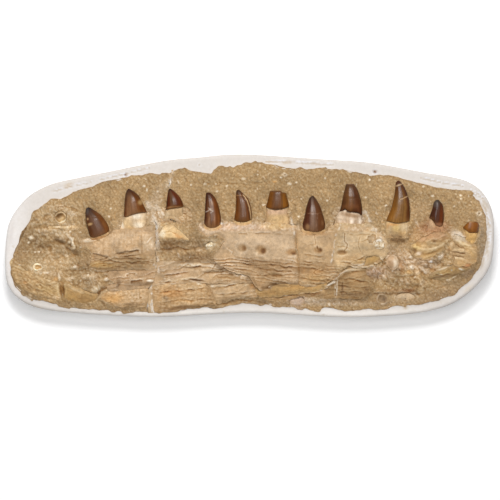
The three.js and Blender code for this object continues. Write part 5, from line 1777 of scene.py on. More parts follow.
# %% [markdown]
# ## The rear plate of the jaw
# The dentary, the bone that carries the teeth, is broken into plates. The rear one is smooth and
# pinkish above, and splits into terraces along its lower half. Two long ledges cross it.
# %% Rear plate
def rear_plate(p):
    x, y = p.T
    z = 0.3 * rough(x, y, 9, 201, 4)
    low = np.clip((-24 - y) / 6, 0, 1)
    z += low * layers(p, -2, 3.2, 1.5, 202, 0.9) + (1 - low) * 0.2 * layers(p, 4, 6, 0.6, 203)
    z += ledge(p, [(-187, -21), (-181, -22.6), (-176, -24.2), (-168, -26)], 2.4, 4.5)
    z += ledge(p, [(-161, -21.6), (-150, -20.5), (-142, -19), (-131, -17.6)], 2.2, 3.5)
    z += ledge(p, [(-162, -27), (-145, -27.5), (-135, -26.6)], 0.9, 2.5)
    z += ledge(p, [(-198, -14), (-191, -17), (-188, -24)], -0.9, 3)
    z += ledge(p, [(-186, -29), (-176, -30.5), (-166, -30), (-158, -31)], 1.3, 3)
    z += ledge(p, [(-158, -24), (-148, -24.6), (-138, -23.4), (-126, -24)], 1.1, 2.6)
    z += ledge(p, [(-150, -31), (-140, -32.6), (-128, -31.6), (-118, -30)], 1.4, 3)
    z += ledge(p, [(-178, -35), (-164, -36), (-150, -35), (-140, -36.6)], 1.2, 3)
    z += ledge(p, [(-136, -27.6), (-128, -28.4), (-119, -27)], 1.0, 2.4)
    z += groove(p, [(-128.5, 1), (-130, -5), (-128, -10), (-129, -18)], 0.4, 0.2, 1.2)
    z += groove(p, [(-162, 3), (-161.4, -9), (-162.4, -20)], 0.4, 0.4, 0.5)
    z += groove(p, [(-149, 4), (-150, -6), (-146, -16)], 0.4, 0.2, 0.5)
    z += groove(p, [(-122, -9), (-117, -3)], 0.8, -0.6)
    z += 0.3 * lumps(x, y, 9, 204, 3)
    z += 0.5 * within(p, -120, -9, 6, 9) + 0.7 * within(p, -191, -6, 8, 2.4, 8)
    return z


def rear_tone_and_shade(p):
    low = np.clip((-20 - p[:, 1]) / 6, 0, 1)[:, None]
    split = layer_tone_and_shade(p, -2, 3.2, 202, 0.9, 1.2) - 1
    whole = layer_tone_and_shade(p, 4, 6, 203) - 1
    return 1 + split * low + whole * 0.14 * (1 - low)


# the thin dark ovals along the ledges and along the plate's lower edge are painted shadow; the others are
# colours of the bone
REAR_STAINS_AND_SHADE = [
    (-190, -6, 9, 2.2, 8, (232, 208, 172), 0.7), (-178, -13, 12, 8, -5, (206, 170, 128), 0.5),
    (-172, -34, 24, 6, -2, (146, 112, 70), 0.8), (-135, -33, 22, 7, 0, (150, 116, 74), 0.75),
    (-150, -27.6, 12, 0.8, 0, (118, 86, 52), 0.6), (-122, -27, 8, 4, 0, (156, 120, 74), 0.6),
    (-145, -24, 16, 3, 3, (174, 138, 96), 0.6), (-150, -3, 18, 5, 6, (212, 182, 146), 0.5),
    (-120, -9, 6, 8, 0, (222, 196, 162), 0.6), (-118, -26, 5, 10, 0, (182, 150, 112), 0.5),
    (-190, -20, 4, 8, 10, (196, 158, 112), 0.6), (-175, -39, 20, 1.6, 0, (118, 90, 58), 0.7),
    (-140, -39.5, 20, 1.4, 0, (134, 104, 70), 0.5), (-145, -12, 10, 5, 0, (198, 164, 124), 0.5),
    (-128, 5, 14, 3, 4, (190, 158, 122), 0.5), (-195, -15.4, 4, 1.4, -15, (228, 198, 152), 0.75),
    (-191.6, -21.6, 3, 1.4, -10, (228, 198, 152), 0.75), (-178, -36, 16, 3, -3, (178, 138, 78), 0.7),
    (-152, -33, 32, 8, 0, (146, 114, 74), 0.4), (-180, -29.4, 8, 0.9, -4, (112, 80, 46), 0.5),
    (-140, -28.6, 14, 1.0, 0, (122, 90, 54), 0.5), (-134, -34, 14, 0.9, 2, (118, 88, 54), 0.5),
    (-150, -21.6, 12, 0.8, 6, (122, 90, 56), 0.5), (-160, 3, 10, 2.4, 20, (180, 146, 108), 0.5),
    (-129, -6, 0.7, 6, 6, (160, 126, 88), 0.4), (-177, -24.4, 9, 0.9, -10, (96, 68, 40), 0.85),
    (-146, -20.4, 13, 0.9, 7, (96, 68, 40), 0.85),
]
dress("dentary_rear", rear_plate, (189, 156, 117), REAR_STAINS_AND_SHADE, seed=21, tone_and_shade=rear_tone_and_shade)

# %% [markdown]
# ## The main plates
# The middle of the jaw is three plates parted by filled cracks. A row of nerve openings crosses
# them, the upper edge is the rough rim that the teeth stood in, and below the openings the bone
# splits into wavy terraces that sink gently to the right.
# %% Openings and relief of the main plates
# middle, half sizes, turn and depth
OPENINGS = [
    (-8.6, -15.4, 5.2, 4.4, 10, 1.7), (-6.6, -15.8, 2.4, 3.0, 10, 0.9), (13.8, -17.8, 6.0, 5.2, -20, 2.2),
    (16.4, -19, 3.0, 2.8, -20, 1.2), (50.6, -20.6, 6.0, 3.8, 0, 1.9), (53, -21.6, 3.0, 2.0, 0, 0.9),
    (82.2, -18.2, 4.6, 3.4, -10, 1.6), (84, -18.6, 2.2, 2.0, 0, 0.8), (110.8, -21, 5.4, 2.8, 5, 1.9),
    (33, -48.5, 6.0, 2.0, -4, 1.6),
]
# line, drop and reach of each ledge
PLATE_LEDGES = [
    ([(-2, -27), (0, -28), (10, -30), (25, -31), (40, -33), (54, -33.6)], 0.9, 2.6),
    ([(-8, -32.6), (0, -34.5), (12, -36), (25, -34.5), (45, -37.5), (58, -39)], 1.5, 3.2),
    ([(61, -38.6), (75, -39), (85, -40), (97, -42)], 1.2, 3.0),
    ([(36, -27.4), (42, -28.6), (53, -30.6)], 0.9, 2.5),
    ([(61, -30.6), (72, -31.6), (84, -32), (97, -34)], 0.9, 2.4),
    ([(61, -34.4), (75, -35), (85, -38), (95, -39.6), (101, -40)], 0.8, 2.4),
    ([(2, -38.6), (20, -40), (36, -42), (52, -42.6)], 1.0, 2.8),
    ([(-20, -38), (-8, -41), (4, -43)], 0.8, 2.6),
    ([(8, -47), (20, -48), (28, -46.6)], 0.8, 2.6), ([(40, -46.4), (50, -46), (58, -47)], 0.7, 2.4),
    ([(61, -50), (75, -53), (88, -53), (98, -52)], 1.0, 3.0),
    ([(62, -55.6), (75, -57), (88, -57)], 0.8, 2.6), ([(-28, -14), (-20, -20), (-22, -28)], -0.5, 3),
    ([(108, -32.6), (118, -32), (128, -29), (136, -26), (141, -23)], 1.3, 3.4),
    ([(-14, 3), (-8, 2.6), (-2, 2.6)], 0.6, 2.6), ([(6, 2.4), (14, 2.8), (27, 2.2)], 0.8, 2.6),
    ([(30, 1.6), (44, 1.4), (55, 0.4)], 0.4, 2.4),
    ([(62, -8), (70, -11), (78, -11)], 0.4, 2.4),
    ([(64, -22), (74, -24), (88, -24.6), (96, -26)], 0.7, 2.6),
    ([(118, 2), (130, 1), (146, 1.6)], 0.7, 2.6),
    ([(104, -14), (112, -13), (120, -14)], 0.4, 2), ([(122, -8), (134, -7), (142, -4)], 0.5, 2.4),
]
# where the plates thin out over the layers below them
PLATE_FOOT = [
    (18, -66), (27, -62), (37, -60), (58, -61), (70, -64), (82, -62), (94, -59), (102, -55), (109, -47),
]


def main_plate(p):
    x, y = p.T
    z = 0.3 * rough(x, y, 10, 211, 4)
    low = np.clip((-25 - y) / 6, 0, 1)
    z += low * layers(p, -7, 3.0, 1.9, 212, 0.9) + (1 - low) * layers(p, -3, 6.5, 0.2, 213)
    rim = np.clip((y - 3) / 3, 0, 1)
    z += rim * (0.8 * rough(x, y, 6, 214, 5) + 0.25 * lumps(x, y, 7, 215, 3))
    z += along_line(p, PLATE_FOOT, 12, lambda d, s, t: -3.4 * np.exp(-((d / 4.2) ** 2)))
    for opening_x, opening_y, half_x, half_y, turn, depth in OPENINGS:
        z += swell(p, opening_x, opening_y, half_x, half_y, -depth, turn, 3.0)
    for line, drop, reach in PLATE_LEDGES:
        z += ledge(p, line, drop, reach)
    z += groove(p, [(78, 1), (78.6, -6), (79, -12)], 0.4, 0.45, 0.6)
    z += groove(p, [(81, -14), (82, -17)], 0.7, 0.8)
    z += groove(p, [(114, 2), (114, -8), (116.5, -11), (116, -15), (114, -20)], 0.5, 0.8, 0.8)
    z += groove(p, [(132, -2), (130, -12), (133, -20)], 0.4, 0.4, 0.8)
    flaked = np.clip(3 * (within(p, 146, -4.6, 6, 5, 20) + 0.7 * rough(x, y, 4, 216, 4) - 0.4), 0, 1)
    z -= 0.7 * flaked + 1.0 * within(p, 133, -35, 12, 2.4, 0)
    z += groove(p, [(84, -40), (79, -42.4), (77, -45), (80, -47.6), (87, -47)], 0.6, 0.5)
    z += groove(p, [(88, -42), (83, -44.4), (87, -46)], 0.5, 0.4)
    return z


def main_tone_and_shade(p):
    low = np.clip((-23 - p[:, 1]) / 6, 0, 1)[:, None]
    split = layer_tone_and_shade(p, -7, 3.0, 212, 0.9, 1.35) - 1
    whole = layer_tone_and_shade(p, -3, 6.5, 213) - 1
    return 1 + split * low + whole * 0.12 * (1 - low)


print("openings and ledges of the plates:", len(OPENINGS) + len(PLATE_LEDGES))

# %% [markdown]
# ## Colours of the main plates
# The plates are one bone, so they share one list of stains, which runs across the cracks: pink
# under the teeth, honey brown in the split lower half. In the openings a painted shade darkens one
# side and painted light the rim below, and thin dark lines along some ledges are painted shadow.
# %% The three main plates
# honey and pink are colours of the bone; the third colour is painted shade for the nerve openings
HONEY, PINK, OPENING_SHADE = (196, 150, 92), (216, 182, 152), (118, 78, 42)
# in the openings the dark ovals are painted shade and the pale ones below them painted light
MAIN_STAINS_AND_SHADE = [
    (-8, -15.5, 4.8, 3.8, 12, (170, 134, 92), 0.65), (-5.4, -15.5, 1.6, 3.0, 0, (136, 98, 58), 0.7),
    (14, -18, 5.8, 4.8, -20, (160, 122, 78), 0.75), (17, -19.6, 2.2, 2.8, -20, OPENING_SHADE, 0.8),
    (8.6, -21.4, 1.4, 2.6, -20, (232, 204, 166), 0.8), (50.6, -20.6, 5.8, 3.4, 0, (172, 130, 84), 0.6),
    (53, -22, 3.4, 1.4, -20, OPENING_SHADE, 0.7), (82.2, -18.4, 4.2, 3.0, -10, (164, 124, 80), 0.6),
    (85, -17.6, 1.6, 1.6, 0, OPENING_SHADE, 0.7), (81.4, -14.6, 0.8, 2, 0, OPENING_SHADE, 0.6),
    (110.8, -21, 5.2, 2.6, 5, (160, 124, 82), 0.6), (113, -20.4, 2.4, 1.2, 5, OPENING_SHADE, 0.6),
    (33, -48.6, 5, 1.4, -4, (164, 122, 76), 0.7), (37.6, -48, 1.8, 1.4, 0, OPENING_SHADE, 0.85),
    (30, -54, 3.4, 1.4, 0, (230, 208, 176), 0.7), (28, -45.4, 6, 1.2, 10, (140, 106, 66), 0.6),
    (20, -38, 36, 10, -3, (152, 114, 70), 0.8), (25, -53, 26, 7, -2, (164, 124, 76), 0.7),
    (78, -40, 20, 8, -6, (160, 122, 78), 0.7), (80, -53, 18, 5, -4, (178, 136, 82), 0.7),
    (80, -44, 8, 3.4, 0, (198, 148, 90), 0.4), (-28, -27, 7, 10, 30, (188, 152, 110), 0.6),
    (-36, -30, 4, 5, 30, (172, 136, 92), 0.5), (-10, -40, 14, 3, -14, (182, 146, 104), 0.5),
    (0, -7, 26, 5, 0, (218, 188, 152), 0.6), (38, -8, 12, 7, 0, (214, 184, 148), 0.5),
    (72, -5, 12, 7, 0, (206, 176, 138), 0.5), (90, -6, 8, 7, 0, (188, 156, 118), 0.5),
    (120, -8, 10, 8, 0, (216, 188, 150), 0.5), (-20, 9, 30, 3.8, 0, PINK, 0.75),
    (-48, 6, 8, 5, 0, (218, 194, 166), 0.7), (30, 8, 22, 3.4, 0, PINK, 0.6),
    (-50, 8, 6, 4, 0, (206, 172, 132), 0.6), (-33, 13, 2.6, 1.4, 0, (240, 226, 204), 0.9),
    (144, -5, 2.6, 4.0, 30, (166, 140, 108), 0.7), (148.4, -2.6, 3.4, 1.8, -20, (170, 142, 110), 0.7),
    (147.4, -9, 1.6, 3, -20, (168, 142, 110), 0.6), (133, -35.6, 13, 2.2, 0, (182, 162, 136), 0.8),
    (55.8, -8, 0.9, 10, 4, (146, 98, 50), 0.7), (58.4, -36, 1.1, 14, 3, (150, 104, 54), 0.6),
    (57, -20, 2.4, 26, 3, HONEY, 0.3), (128, 7, 16, 3.4, 0, (212, 180, 144), 0.6),
    (152, -22, 9, 4, 4, (202, 170, 124), 0.6), (134, -30, 12, 3, 14, (176, 138, 84), 0.7),
    (156, -2, 5, 5, -40, (204, 174, 138), 0.5), (160, -20, 4, 8, 0, (196, 166, 128), 0.5),
    (24, -27, 14, 2, -4, (224, 194, 156), 0.5), (14, 2.2, 10, 0.5, 0, (130, 96, 60), 0.5),
    (34, 10, 15, 4.4, 0, (210, 174, 118), 0.75), (77, 0.5, 18, 1.2, 2, (190, 146, 100), 0.7),
    (80, 3.4, 14, 1.0, 2, (222, 194, 158), 0.6), (120, -27, 14, 4, 10, (190, 152, 106), 0.5),
    (12, -62, 8, 3, 0, (170, 128, 80), 0.5),
]
dress("dentary_main_1", main_plate, (193, 163, 127), MAIN_STAINS_AND_SHADE, seed=22, grow=1.4, ragged=2.6,
    rounding=(2.0, 2.6), soften=5, tone_and_shade=main_tone_and_shade)
dress("dentary_main_2", main_plate, (192, 158, 116), MAIN_STAINS_AND_SHADE, seed=23, ragged=2.0, rounding=(0.7, 1.2),
    tone_and_shade=main_tone_and_shade)
dress("dentary_main_3", main_plate, (196, 165, 123), MAIN_STAINS_AND_SHADE, seed=24, grow=1.2, ragged=2.0,
    rounding=(0.6, 1.2), tone_and_shade=main_tone_and_shade)

# %% [markdown]
# ## Front plate and jaw tip
# Towards its tip the jaw narrows and is worn into long blades with dark grooves between them. A
# bar of olive bone lies under it, stained with rust.
# %% Front plate, tip and the bar under it
def front_plate(p):
    z = 0.4 * rough(*p.T, 8, 221, 4) + 0.8 * layers(p, 16, 3.4, 0.7, 222)
    z += swell(p, 220.5, -7.2, 3.2, 1.8, -0.9, 0, 3) + swell(p, 196.6, -19, 3.4, 3.2, -1.6, -30, 3)
    z += groove(p, [(202, -9), (213, -12.5), (224, -10.5), (233, -6), (238, -2)], 3.6, 1.1, 0.8)
    z += groove(p, [(198, -14), (207, -17.4), (217, -18), (227, -14), (236, -8)], 2.6, -0.8, 0.8)
    return z + groove(p, [(205, -23), (213, -23), (222, -20), (230, -15)], 1.6, 0.4, 0.8)


def jaw_tip(p):
    x, y = p.T
    fan = within(p, 249, -23, 9, 11, -10)
    z = 0.4 * rough(x, y, 7, 223, 4) + 0.8 * layers(p, -24, 4, 0.7, 224) * (1 - fan)
    z += 2.2 * fan * layers(p, -7, 2.4, 0.8, 227)
    z += groove(p, [(246, -11), (251, -14), (257, -16)], 0.5, 0.6, 0.8)
    z += groove(p, [(242, -20.6), (249, -21.4), (257, -22)], 0.6, 0.9, 0.8)
    z += groove(p, [(243, -25), (250, -26), (256, -26.4)], 0.5, 0.6, 0.8)
    z += groove(p, [(244, -5), (254, -10), (263, -13), (268, -20)], 2.6, -0.8, 0.8)
    return z + ledge(p, [(250, -34), (258, -34.6), (266, -33)], 0.8, 2.6)


def tip_bar(p):
    z = 0.3 * rough(*p.T, 7, 225, 4) + 0.6 * layers(p, 18, 4, 0.6, 226)
    z += swell(p, 254, -40.5, 4, 1.6, 0.9, -20, 3)
    z += ledge(p, [(222, -47.6), (232, -47), (242, -45.6)], 0.9, 2.6)
    return z


dress("dentary_front", front_plate, (186, 152, 106), [
    (222, 0, 18, 5.4, 6, (192, 146, 104), 0.85), (203, -5, 8, 4, 10, (194, 148, 106), 0.7),
    (200, -14, 5, 3.6, -20, (210, 168, 100), 0.75), (220, -11.5, 14, 2.6, 8, (196, 168, 126), 0.6),
    (219, -15.6, 5, 0.8, 4, (226, 196, 150), 0.7), (214, -24, 10, 3, 8, (188, 148, 92), 0.6),
    (213, -21.6, 9, 0.9, 8, (150, 114, 68), 0.6), (228, -18, 6, 2.4, 30, (180, 140, 86), 0.6),
    (196.6, -19, 3, 3, -20, (140, 110, 80), 0.7), (203, -22, 3.4, 1.8, 10, (218, 194, 166), 0.7),
    (220.5, -7.4, 3.2, 1.6, 0, (140, 108, 72), 0.6), (236, -17.6, 4.6, 0.9, 38, (84, 60, 36), 0.85),
], seed=25, grow=0.6, ragged=3.4, rounding=(0.3, 1.8), bank=(0.3, 0.4),
    tone_and_shade=lambda p: layer_tone_and_shade(p, 16, 3.4, 222, strength=0.7))
dress("dentary_tip", jaw_tip, (179, 146, 103), [
    (251, -2.4, 8, 4.2, -32, (230, 214, 190), 0.85), (256, -10.4, 9, 1.8, -24, (222, 190, 140), 0.75),
    (251, -14.2, 6, 0.7, -20, (140, 104, 62), 0.6), (250, -18.2, 8, 1.4, -6, (216, 190, 150), 0.6),
    (249, -21.4, 8, 1.0, -6, (116, 88, 56), 0.7), (249, -23.6, 8, 1.2, -6, (160, 126, 86), 0.6),
    (249, -25.8, 7, 0.8, -6, (124, 94, 60), 0.6), (250, -28.4, 8, 1.2, -6, (220, 192, 150), 0.6),
    (262, -17, 4, 8, 40, (206, 172, 122), 0.6), (267, -24, 3, 9, 5, (190, 152, 100), 0.6),
    (261, -36.4, 3.4, 2.0, 20, (178, 112, 64), 0.7), (252, -33, 8, 2, 8, (186, 148, 98), 0.6),
], seed=26, ragged=3.0, rounding=(0.3, 1.6), bank=(0.2, 0.25),
    tone_and_shade=lambda p: layer_tone_and_shade(p, -18, 4, 224, strength=0.6))
# the dark ovals along its lower edge and under its ledge are painted shadow
dress("tip_bar", tip_bar, (166, 134, 90), [
    (240, -43, 15, 2.8, 12, (184, 146, 88), 0.6), (233, -39.4, 10, 0.9, 22, (220, 200, 168), 0.85),
    (259, -38, 3, 1.6, 0, (178, 112, 64), 0.6), (249, -39.6, 3, 1.2, 0, (164, 116, 70), 0.5),
    (253, -41.2, 2.4, 1.0, -20, (220, 206, 180), 0.8), (228, -47.4, 3.0, 0.9, 0, (210, 192, 162), 0.6),
    (242, -42.6, 1.0, 0.9, 0, (206, 198, 184), 0.8), (234, -49.6, 18, 1.5, 8, (112, 84, 52), 0.8),
    (240, -46.6, 8, 1.6, 10, (140, 108, 66), 0.6),
], seed=27, tone_and_shade=lambda p: layer_tone_and_shade(p, 18, 4, 226, strength=0.9))

# %% [markdown]
# ## Split layers under the plates
# Between the plates and the lower bones the jaw has come apart into thin layers. They are the
# roughest bone on the slab, so they get more terraces and a coarser finish.
# %% Laminae
def rear_laminae(p):
    z = 0.4 * rough(*p.T, 7, 231, 4) + layers(p, 5, 3.6, 1.1, 232)
    z += ledge(p, [(-148, -47), (-143, -45.6), (-136, -45.4)], 1.1, 3)
    z += ledge(p, [(-143, -55), (-135, -54), (-127, -52.4)], 1.5, 4)
    z += ledge(p, [(-160, -50), (-150, -51), (-142, -50)], 0.9, 3)
    z += ledge(p, [(-158, -58), (-148, -60), (-138, -58)], 1.0, 3)
    z += swell(p, -119, -55, 3.6, 1.6, 0.9, 0, 3) + swell(p, -148, -56, 9, 3, -0.8, 0, 3)
    return z


# the lower left edge of the first plate, where it stands over the layers
PLATE_SIDE = [
    (-42, -31), (-35, -38), (-28, -42.4), (-20, -46), (-10, -48), (-3, -50), (2, -55), (8, -62), (12, -66),
]


def middle_laminae(p):
    z = 0.4 * rough(*p.T, 8, 233, 4) + layers(p, 7, 4.2, 1.2, 234)
    z += ledge(p, [(-86, -37), (-70, -38.6), (-56, -36.4)], 1.8, 4)
    z += ledge(p, [(-104, -56), (-84, -54), (-60, -52.4)], 1.4, 4)
    z += ledge(p, [(-104, -49), (-88, -46), (-70, -43)], 1.0, 4) + swell(p, -42, -38.6, 13, 4.6, 1.6, 12, 4)
    z += groove(p, [(-40, -34), (-42, -37.6), (-44, -41)], 0.5, 0.8) + swell(p, -63, -54, 8, 1.0, -1.2, -8, 3)
    z += groove(p, PLATE_SIDE, 2.4, -0.9, 1.4)
    z += ledge(p, [(-56, -43.6), (-44, -44), (-30, -43.6)], 1.3, 3.4)
    z += ledge(p, [(-40, -49), (-26, -49.6), (-10, -50)], 0.9, 3)
    return z


def golden_laminae(p):
    return 0.25 * rough(*p.T, 7, 235, 4) + layers(p, 4, 2.2, 0.8, 236)


# the dark ovals under the ledges are painted shadow
dress("laminae_rear", rear_laminae, (182, 148, 110), [
    (-142, -46.6, 9, 1.3, 6, (224, 196, 160), 0.8), (-134, -54, 9, 1.2, 10, (214, 182, 142), 0.7),
    (-130, -58.6, 16, 2.4, 0, (118, 90, 60), 0.8), (-119, -55, 3.6, 1.6, 0, (232, 214, 184), 0.8),
    (-150, -53, 8, 4, 0, (196, 162, 124), 0.6), (-124, -47, 8, 4, 0, (172, 138, 102), 0.6),
    (-157, -58, 2.6, 5, 0, (110, 84, 56), 0.7), (-158, -46, 6, 3, 0, (162, 130, 94), 0.6),
], seed=28, finish=SPLIT_BONE, grow=2.6, rounding=(0.3, 1.0),
    tone_and_shade=lambda p: layer_tone_and_shade(p, 5, 3.6, 232, strength=1.0))
# the dark ovals under the ledges, in the notch and along the first plate's lower edge are painted shadow
dress("laminae_middle", middle_laminae, (190, 158, 120), [
    (-70, -35.6, 16, 1.5, 2, (226, 200, 164), 0.85), (-68, -38.6, 14, 0.8, 0, (116, 86, 54), 0.6),
    (-98, -33, 5, 1.6, 0, (214, 190, 158), 0.7), (-44, -38, 10, 3.6, 14, (214, 186, 150), 0.7),
    (-60, -31.4, 22, 2.2, -3, (120, 90, 56), 0.7), (-80, -53, 20, 1.4, 6, (210, 180, 140), 0.7),
    (-63, -54.2, 8, 0.9, -8, (96, 70, 42), 0.7), (-90, -46, 14, 5, 10, (190, 156, 120), 0.6),
    (-12, -48.4, 5, 1.6, 0, (222, 200, 170), 0.7), (-30, -51, 16, 3, 0, (186, 148, 100), 0.6),
    (-35, -38, 7, 3.0, -40, (118, 86, 52), 0.8), (-24, -45, 6, 1.8, -28, (128, 94, 58), 0.7),
    (-1, -52, 2.4, 4, 30, (122, 90, 56), 0.7), (-14, -47.4, 8, 1.2, -10, (136, 104, 66), 0.6),
    (0, -52, 2, 4, 30, (136, 104, 66), 0.6), (-105, -44, 4, 10, 0, (170, 140, 106), 0.6),
    (-44, -43, 12, 1.4, 3, (140, 108, 70), 0.6),
], seed=29, finish=SPLIT_BONE, grow=3.2, rounding=(0.5, 1.8), ragged=2.2, bank=(0.3, 0.3),
    tone_and_shade=lambda p: layer_tone_and_shade(p, 7, 4.2, 234, strength=1.0))
# the dark line near its top is painted shadow under the plates
dress("laminae_golden", golden_laminae, (176, 140, 90), [
    (60, -63, 20, 2, 4, (186, 142, 84), 0.6), (26, -68, 10, 2, 0, (148, 112, 68), 0.6),
    (40, -61, 10, 1.2, -3, (122, 90, 54), 0.7),
], seed=30, finish=SPLIT_BONE, grow=3.4, rounding=(0.9, 2.4), ragged=2.4, bank=(0.3, 0.3), lift=1.1,
    tone_and_shade=lambda p: layer_tone_and_shade(p, 4, 2.2, 236, strength=1.1))

# %% [markdown]
# ## Lower bones and bars
# Bones of the lower edge lie deeper. The left ones are orange and cracked, the bars at the right
# have a cream top and an olive flank that turns down into shadow, with painted shadow at its foot.
# The dark ovals along the lower edges of the other bones are painted shadow too.
# %% Lower bones
def lower_rear(p):
    z = 0.35 * rough(*p.T, 8, 241, 4) + 0.6 * layers(p, 6, 4.4, 0.7, 242)
    z += groove(p, [(-131, -64), (-131.4, -71), (-133, -78)], 0.4, 0.2, 0.9)
    z += 0.35 * lumps(p[:, 0], p[:, 1] * 1.6, 7, 249, 3)
    z += swell(p, -130, -75, 1.4, 1.0, -0.9, 0, 3) + ledge(p, [(-172, -74), (-160, -73), (-148, -71)], 0.8, 3)
    return z


def lower_left(p):
    z = 0.4 * rough(*p.T, 9, 243, 4) + 0.7 * layers(p, 5, 5.5, 0.8, 244)
    z += ledge(p, [(-112, -68), (-96, -66), (-80, -66), (-64, -64), (-50, -62.6)], 1.2, 4)
    z += ledge(p, [(-108, -80), (-90, -78), (-70, -76.6), (-52, -76)], 1.0, 4)
    z += swell(p, -80, -87, 20, 2.4, -1.0, 4, 3)
    z += 0.4 * lumps(p[:, 0], p[:, 1] * 1.6, 8, 250, 3)
    return z


def lower_middle(p):
    z = 0.35 * rough(*p.T, 8, 245, 4) + 0.6 * layers(p, 8, 4.6, 0.7, 246)
    z += groove(p, PLATE_SIDE, 2.4, -0.9, 1.4)
    z += ledge(p, [(-46, -63), (-30, -61.5), (-14, -57.5), (-4, -56.4)], 1.4, 4)
    z += ledge(p, [(-38, -72), (-24, -70), (-6, -68), (6, -68)], 0.9, 3.4)
    return z


def bars(p):
    x, y = p.T
    z = 0.3 * rough(x, y, 8, 247, 4) + 0.7 * layers(p, 3, 3.4, 0.8, 248)
    z += ledge(p, [(112, -52), (120, -51), (130, -53), (140, -55), (144, -57)], 1.6, 4)
    z += ledge(p, [(118, -43.4), (128, -42.6), (136, -43)], 0.9, 3)
    z += ledge(p, [(104, -60), (116, -60), (130, -62), (142, -62)], 1.0, 3.4)
    z += ledge(p, [(106, -67.6), (120, -68), (136, -68)], 1.0, 3)
    z += ledge(p, [(18, -74.4), (40, -73.6), (62, -70), (86, -68)], 1.5, 4)
    z += groove(p, [(92, -61), (100, -56), (106, -50), (111, -45.6), (117, -42), (128, -38.6), (140, -38)],
        2.8, -1.7, 0.5)
    z += groove(p, [(103.5, -54), (103.8, -64), (103.2, -73)], 0.7, 1.0, 0.6)
    z += groove(p, [(111, -57), (111.4, -64), (110.6, -71)], 0.5, 0.7, 0.6)
    return z


# the dark oval along its lower edge is painted shadow
dress("lower_bone_rear", lower_rear, (200, 164, 120), [
    (-163, -76, 12, 5, 8, (196, 146, 84), 0.75), (-136, -73, 10, 7, 0, (208, 176, 136), 0.5),
    (-131.6, -70, 0.8, 6, 8, (150, 112, 70), 0.5), (-172, -73, 6, 3, 15, (184, 140, 86), 0.6),
    (-140, -83, 18, 1.8, 0, (130, 100, 66), 0.7), (-125, -72, 3, 9, 0, (186, 152, 112), 0.5),
], seed=31, tone_and_shade=lambda p: layer_tone_and_shade(p, 6, 4.4, 242, strength=0.45))
# the dark oval along its lower edge is painted shadow
dress("lower_bone_1", lower_left, (186, 150, 106), [
    (-92, -70, 14, 7, 0, (190, 136, 78), 0.7), (-100, -76, 4, 2.4, 0, (150, 128, 100), 0.7),
    (-70, -62, 16, 3.4, 4, (204, 172, 130), 0.6), (-66, -74, 12, 6, 0, (188, 154, 112), 0.5),
    (-84, -87.6, 24, 2.4, 5, (112, 84, 54), 0.75), (-60, -59, 2.4, 1.4, 0, (232, 212, 180), 0.85),
    (-49, -58.6, 1.8, 1.4, 0, (232, 212, 180), 0.85), (-48, -66, 2.4, 8, 15, (170, 130, 84), 0.6),
    (-106, -86, 6, 4, 0, (166, 134, 96), 0.5), (-80, -79, 10, 2, 0, (204, 160, 104), 0.5),
    (-110, -66, 3, 6, 0, (172, 140, 102), 0.5),
], seed=32, tone_and_shade=lambda p: layer_tone_and_shade(p, 5, 5.5, 244, strength=0.6))
# the dark ovals along the first plate's edge and under the lower ledge are painted shadow
dress("lower_bone_2", lower_middle, (188, 156, 116), [
    (-26, -61, 18, 1.4, 8, (216, 188, 150), 0.7), (4, -59, 3.0, 6, 32, (112, 80, 46), 0.85),
    (11, -65.4, 3, 1.8, -30, (122, 90, 54), 0.7), (-10, -66, 14, 4, 5, (184, 150, 110), 0.5),
    (6, -61, 6, 3, 0, (196, 142, 84), 0.6), (-24, -75.6, 18, 2, 12, (146, 114, 78), 0.6),
    (-45, -61, 2, 1.2, 0, (230, 210, 180), 0.8), (-34, -68, 8, 4, 0, (180, 150, 114), 0.5),
], seed=33, tone_and_shade=lambda p: layer_tone_and_shade(p, 8, 4.6, 246, strength=0.7))
# the dark ovals under the long ledge are painted shadow
dress("lower_bar_1", bars, (180, 146, 102), [
    (36, -72.6, 20, 1.6, 3, (214, 184, 142), 0.8), (72, -67, 14, 2, 8, (206, 172, 124), 0.7),
    (74, -71.6, 16, 2.2, 0, (126, 92, 56), 0.8), (36, -76.4, 18, 1.4, 0, (150, 116, 76), 0.7),
    (54, -73, 8, 2, 8, (160, 122, 78), 0.6),
], seed=34, tone_and_shade=lambda p: layer_tone_and_shade(p, 3, 3.4, 248, strength=0.9))
# the dark oval at the foot of its flank is painted shadow
dress("lower_bar_2", bars, (160, 126, 84), [
    (126, -41.8, 10, 1.3, 0, (206, 178, 138), 0.8), (96, -66, 6, 6, 0, (166, 132, 88), 0.6),
    (124, -47, 12, 3, -4, (176, 142, 100), 0.6), (124, -57, 16, 3, -6, (152, 116, 72), 0.6),
    (122, -71, 16, 2.6, 0, (112, 84, 52), 0.8), (103.6, -64, 1.0, 9, 0, (232, 216, 190), 0.85),
    (98, -58, 7, 0.9, 28, (232, 216, 190), 0.85), (88, -63, 4, 0.8, 20, (228, 212, 184), 0.8),
    (111, -64, 0.9, 7, 0, (120, 88, 56), 0.7), (140, -66, 4, 5, 0, (130, 98, 62), 0.6),
], seed=35, grow=2.0, rounding=(0.6, 1.4), tone_and_shade=lambda p: layer_tone_and_shade(p, 3, 3.4, 248, strength=0.9))

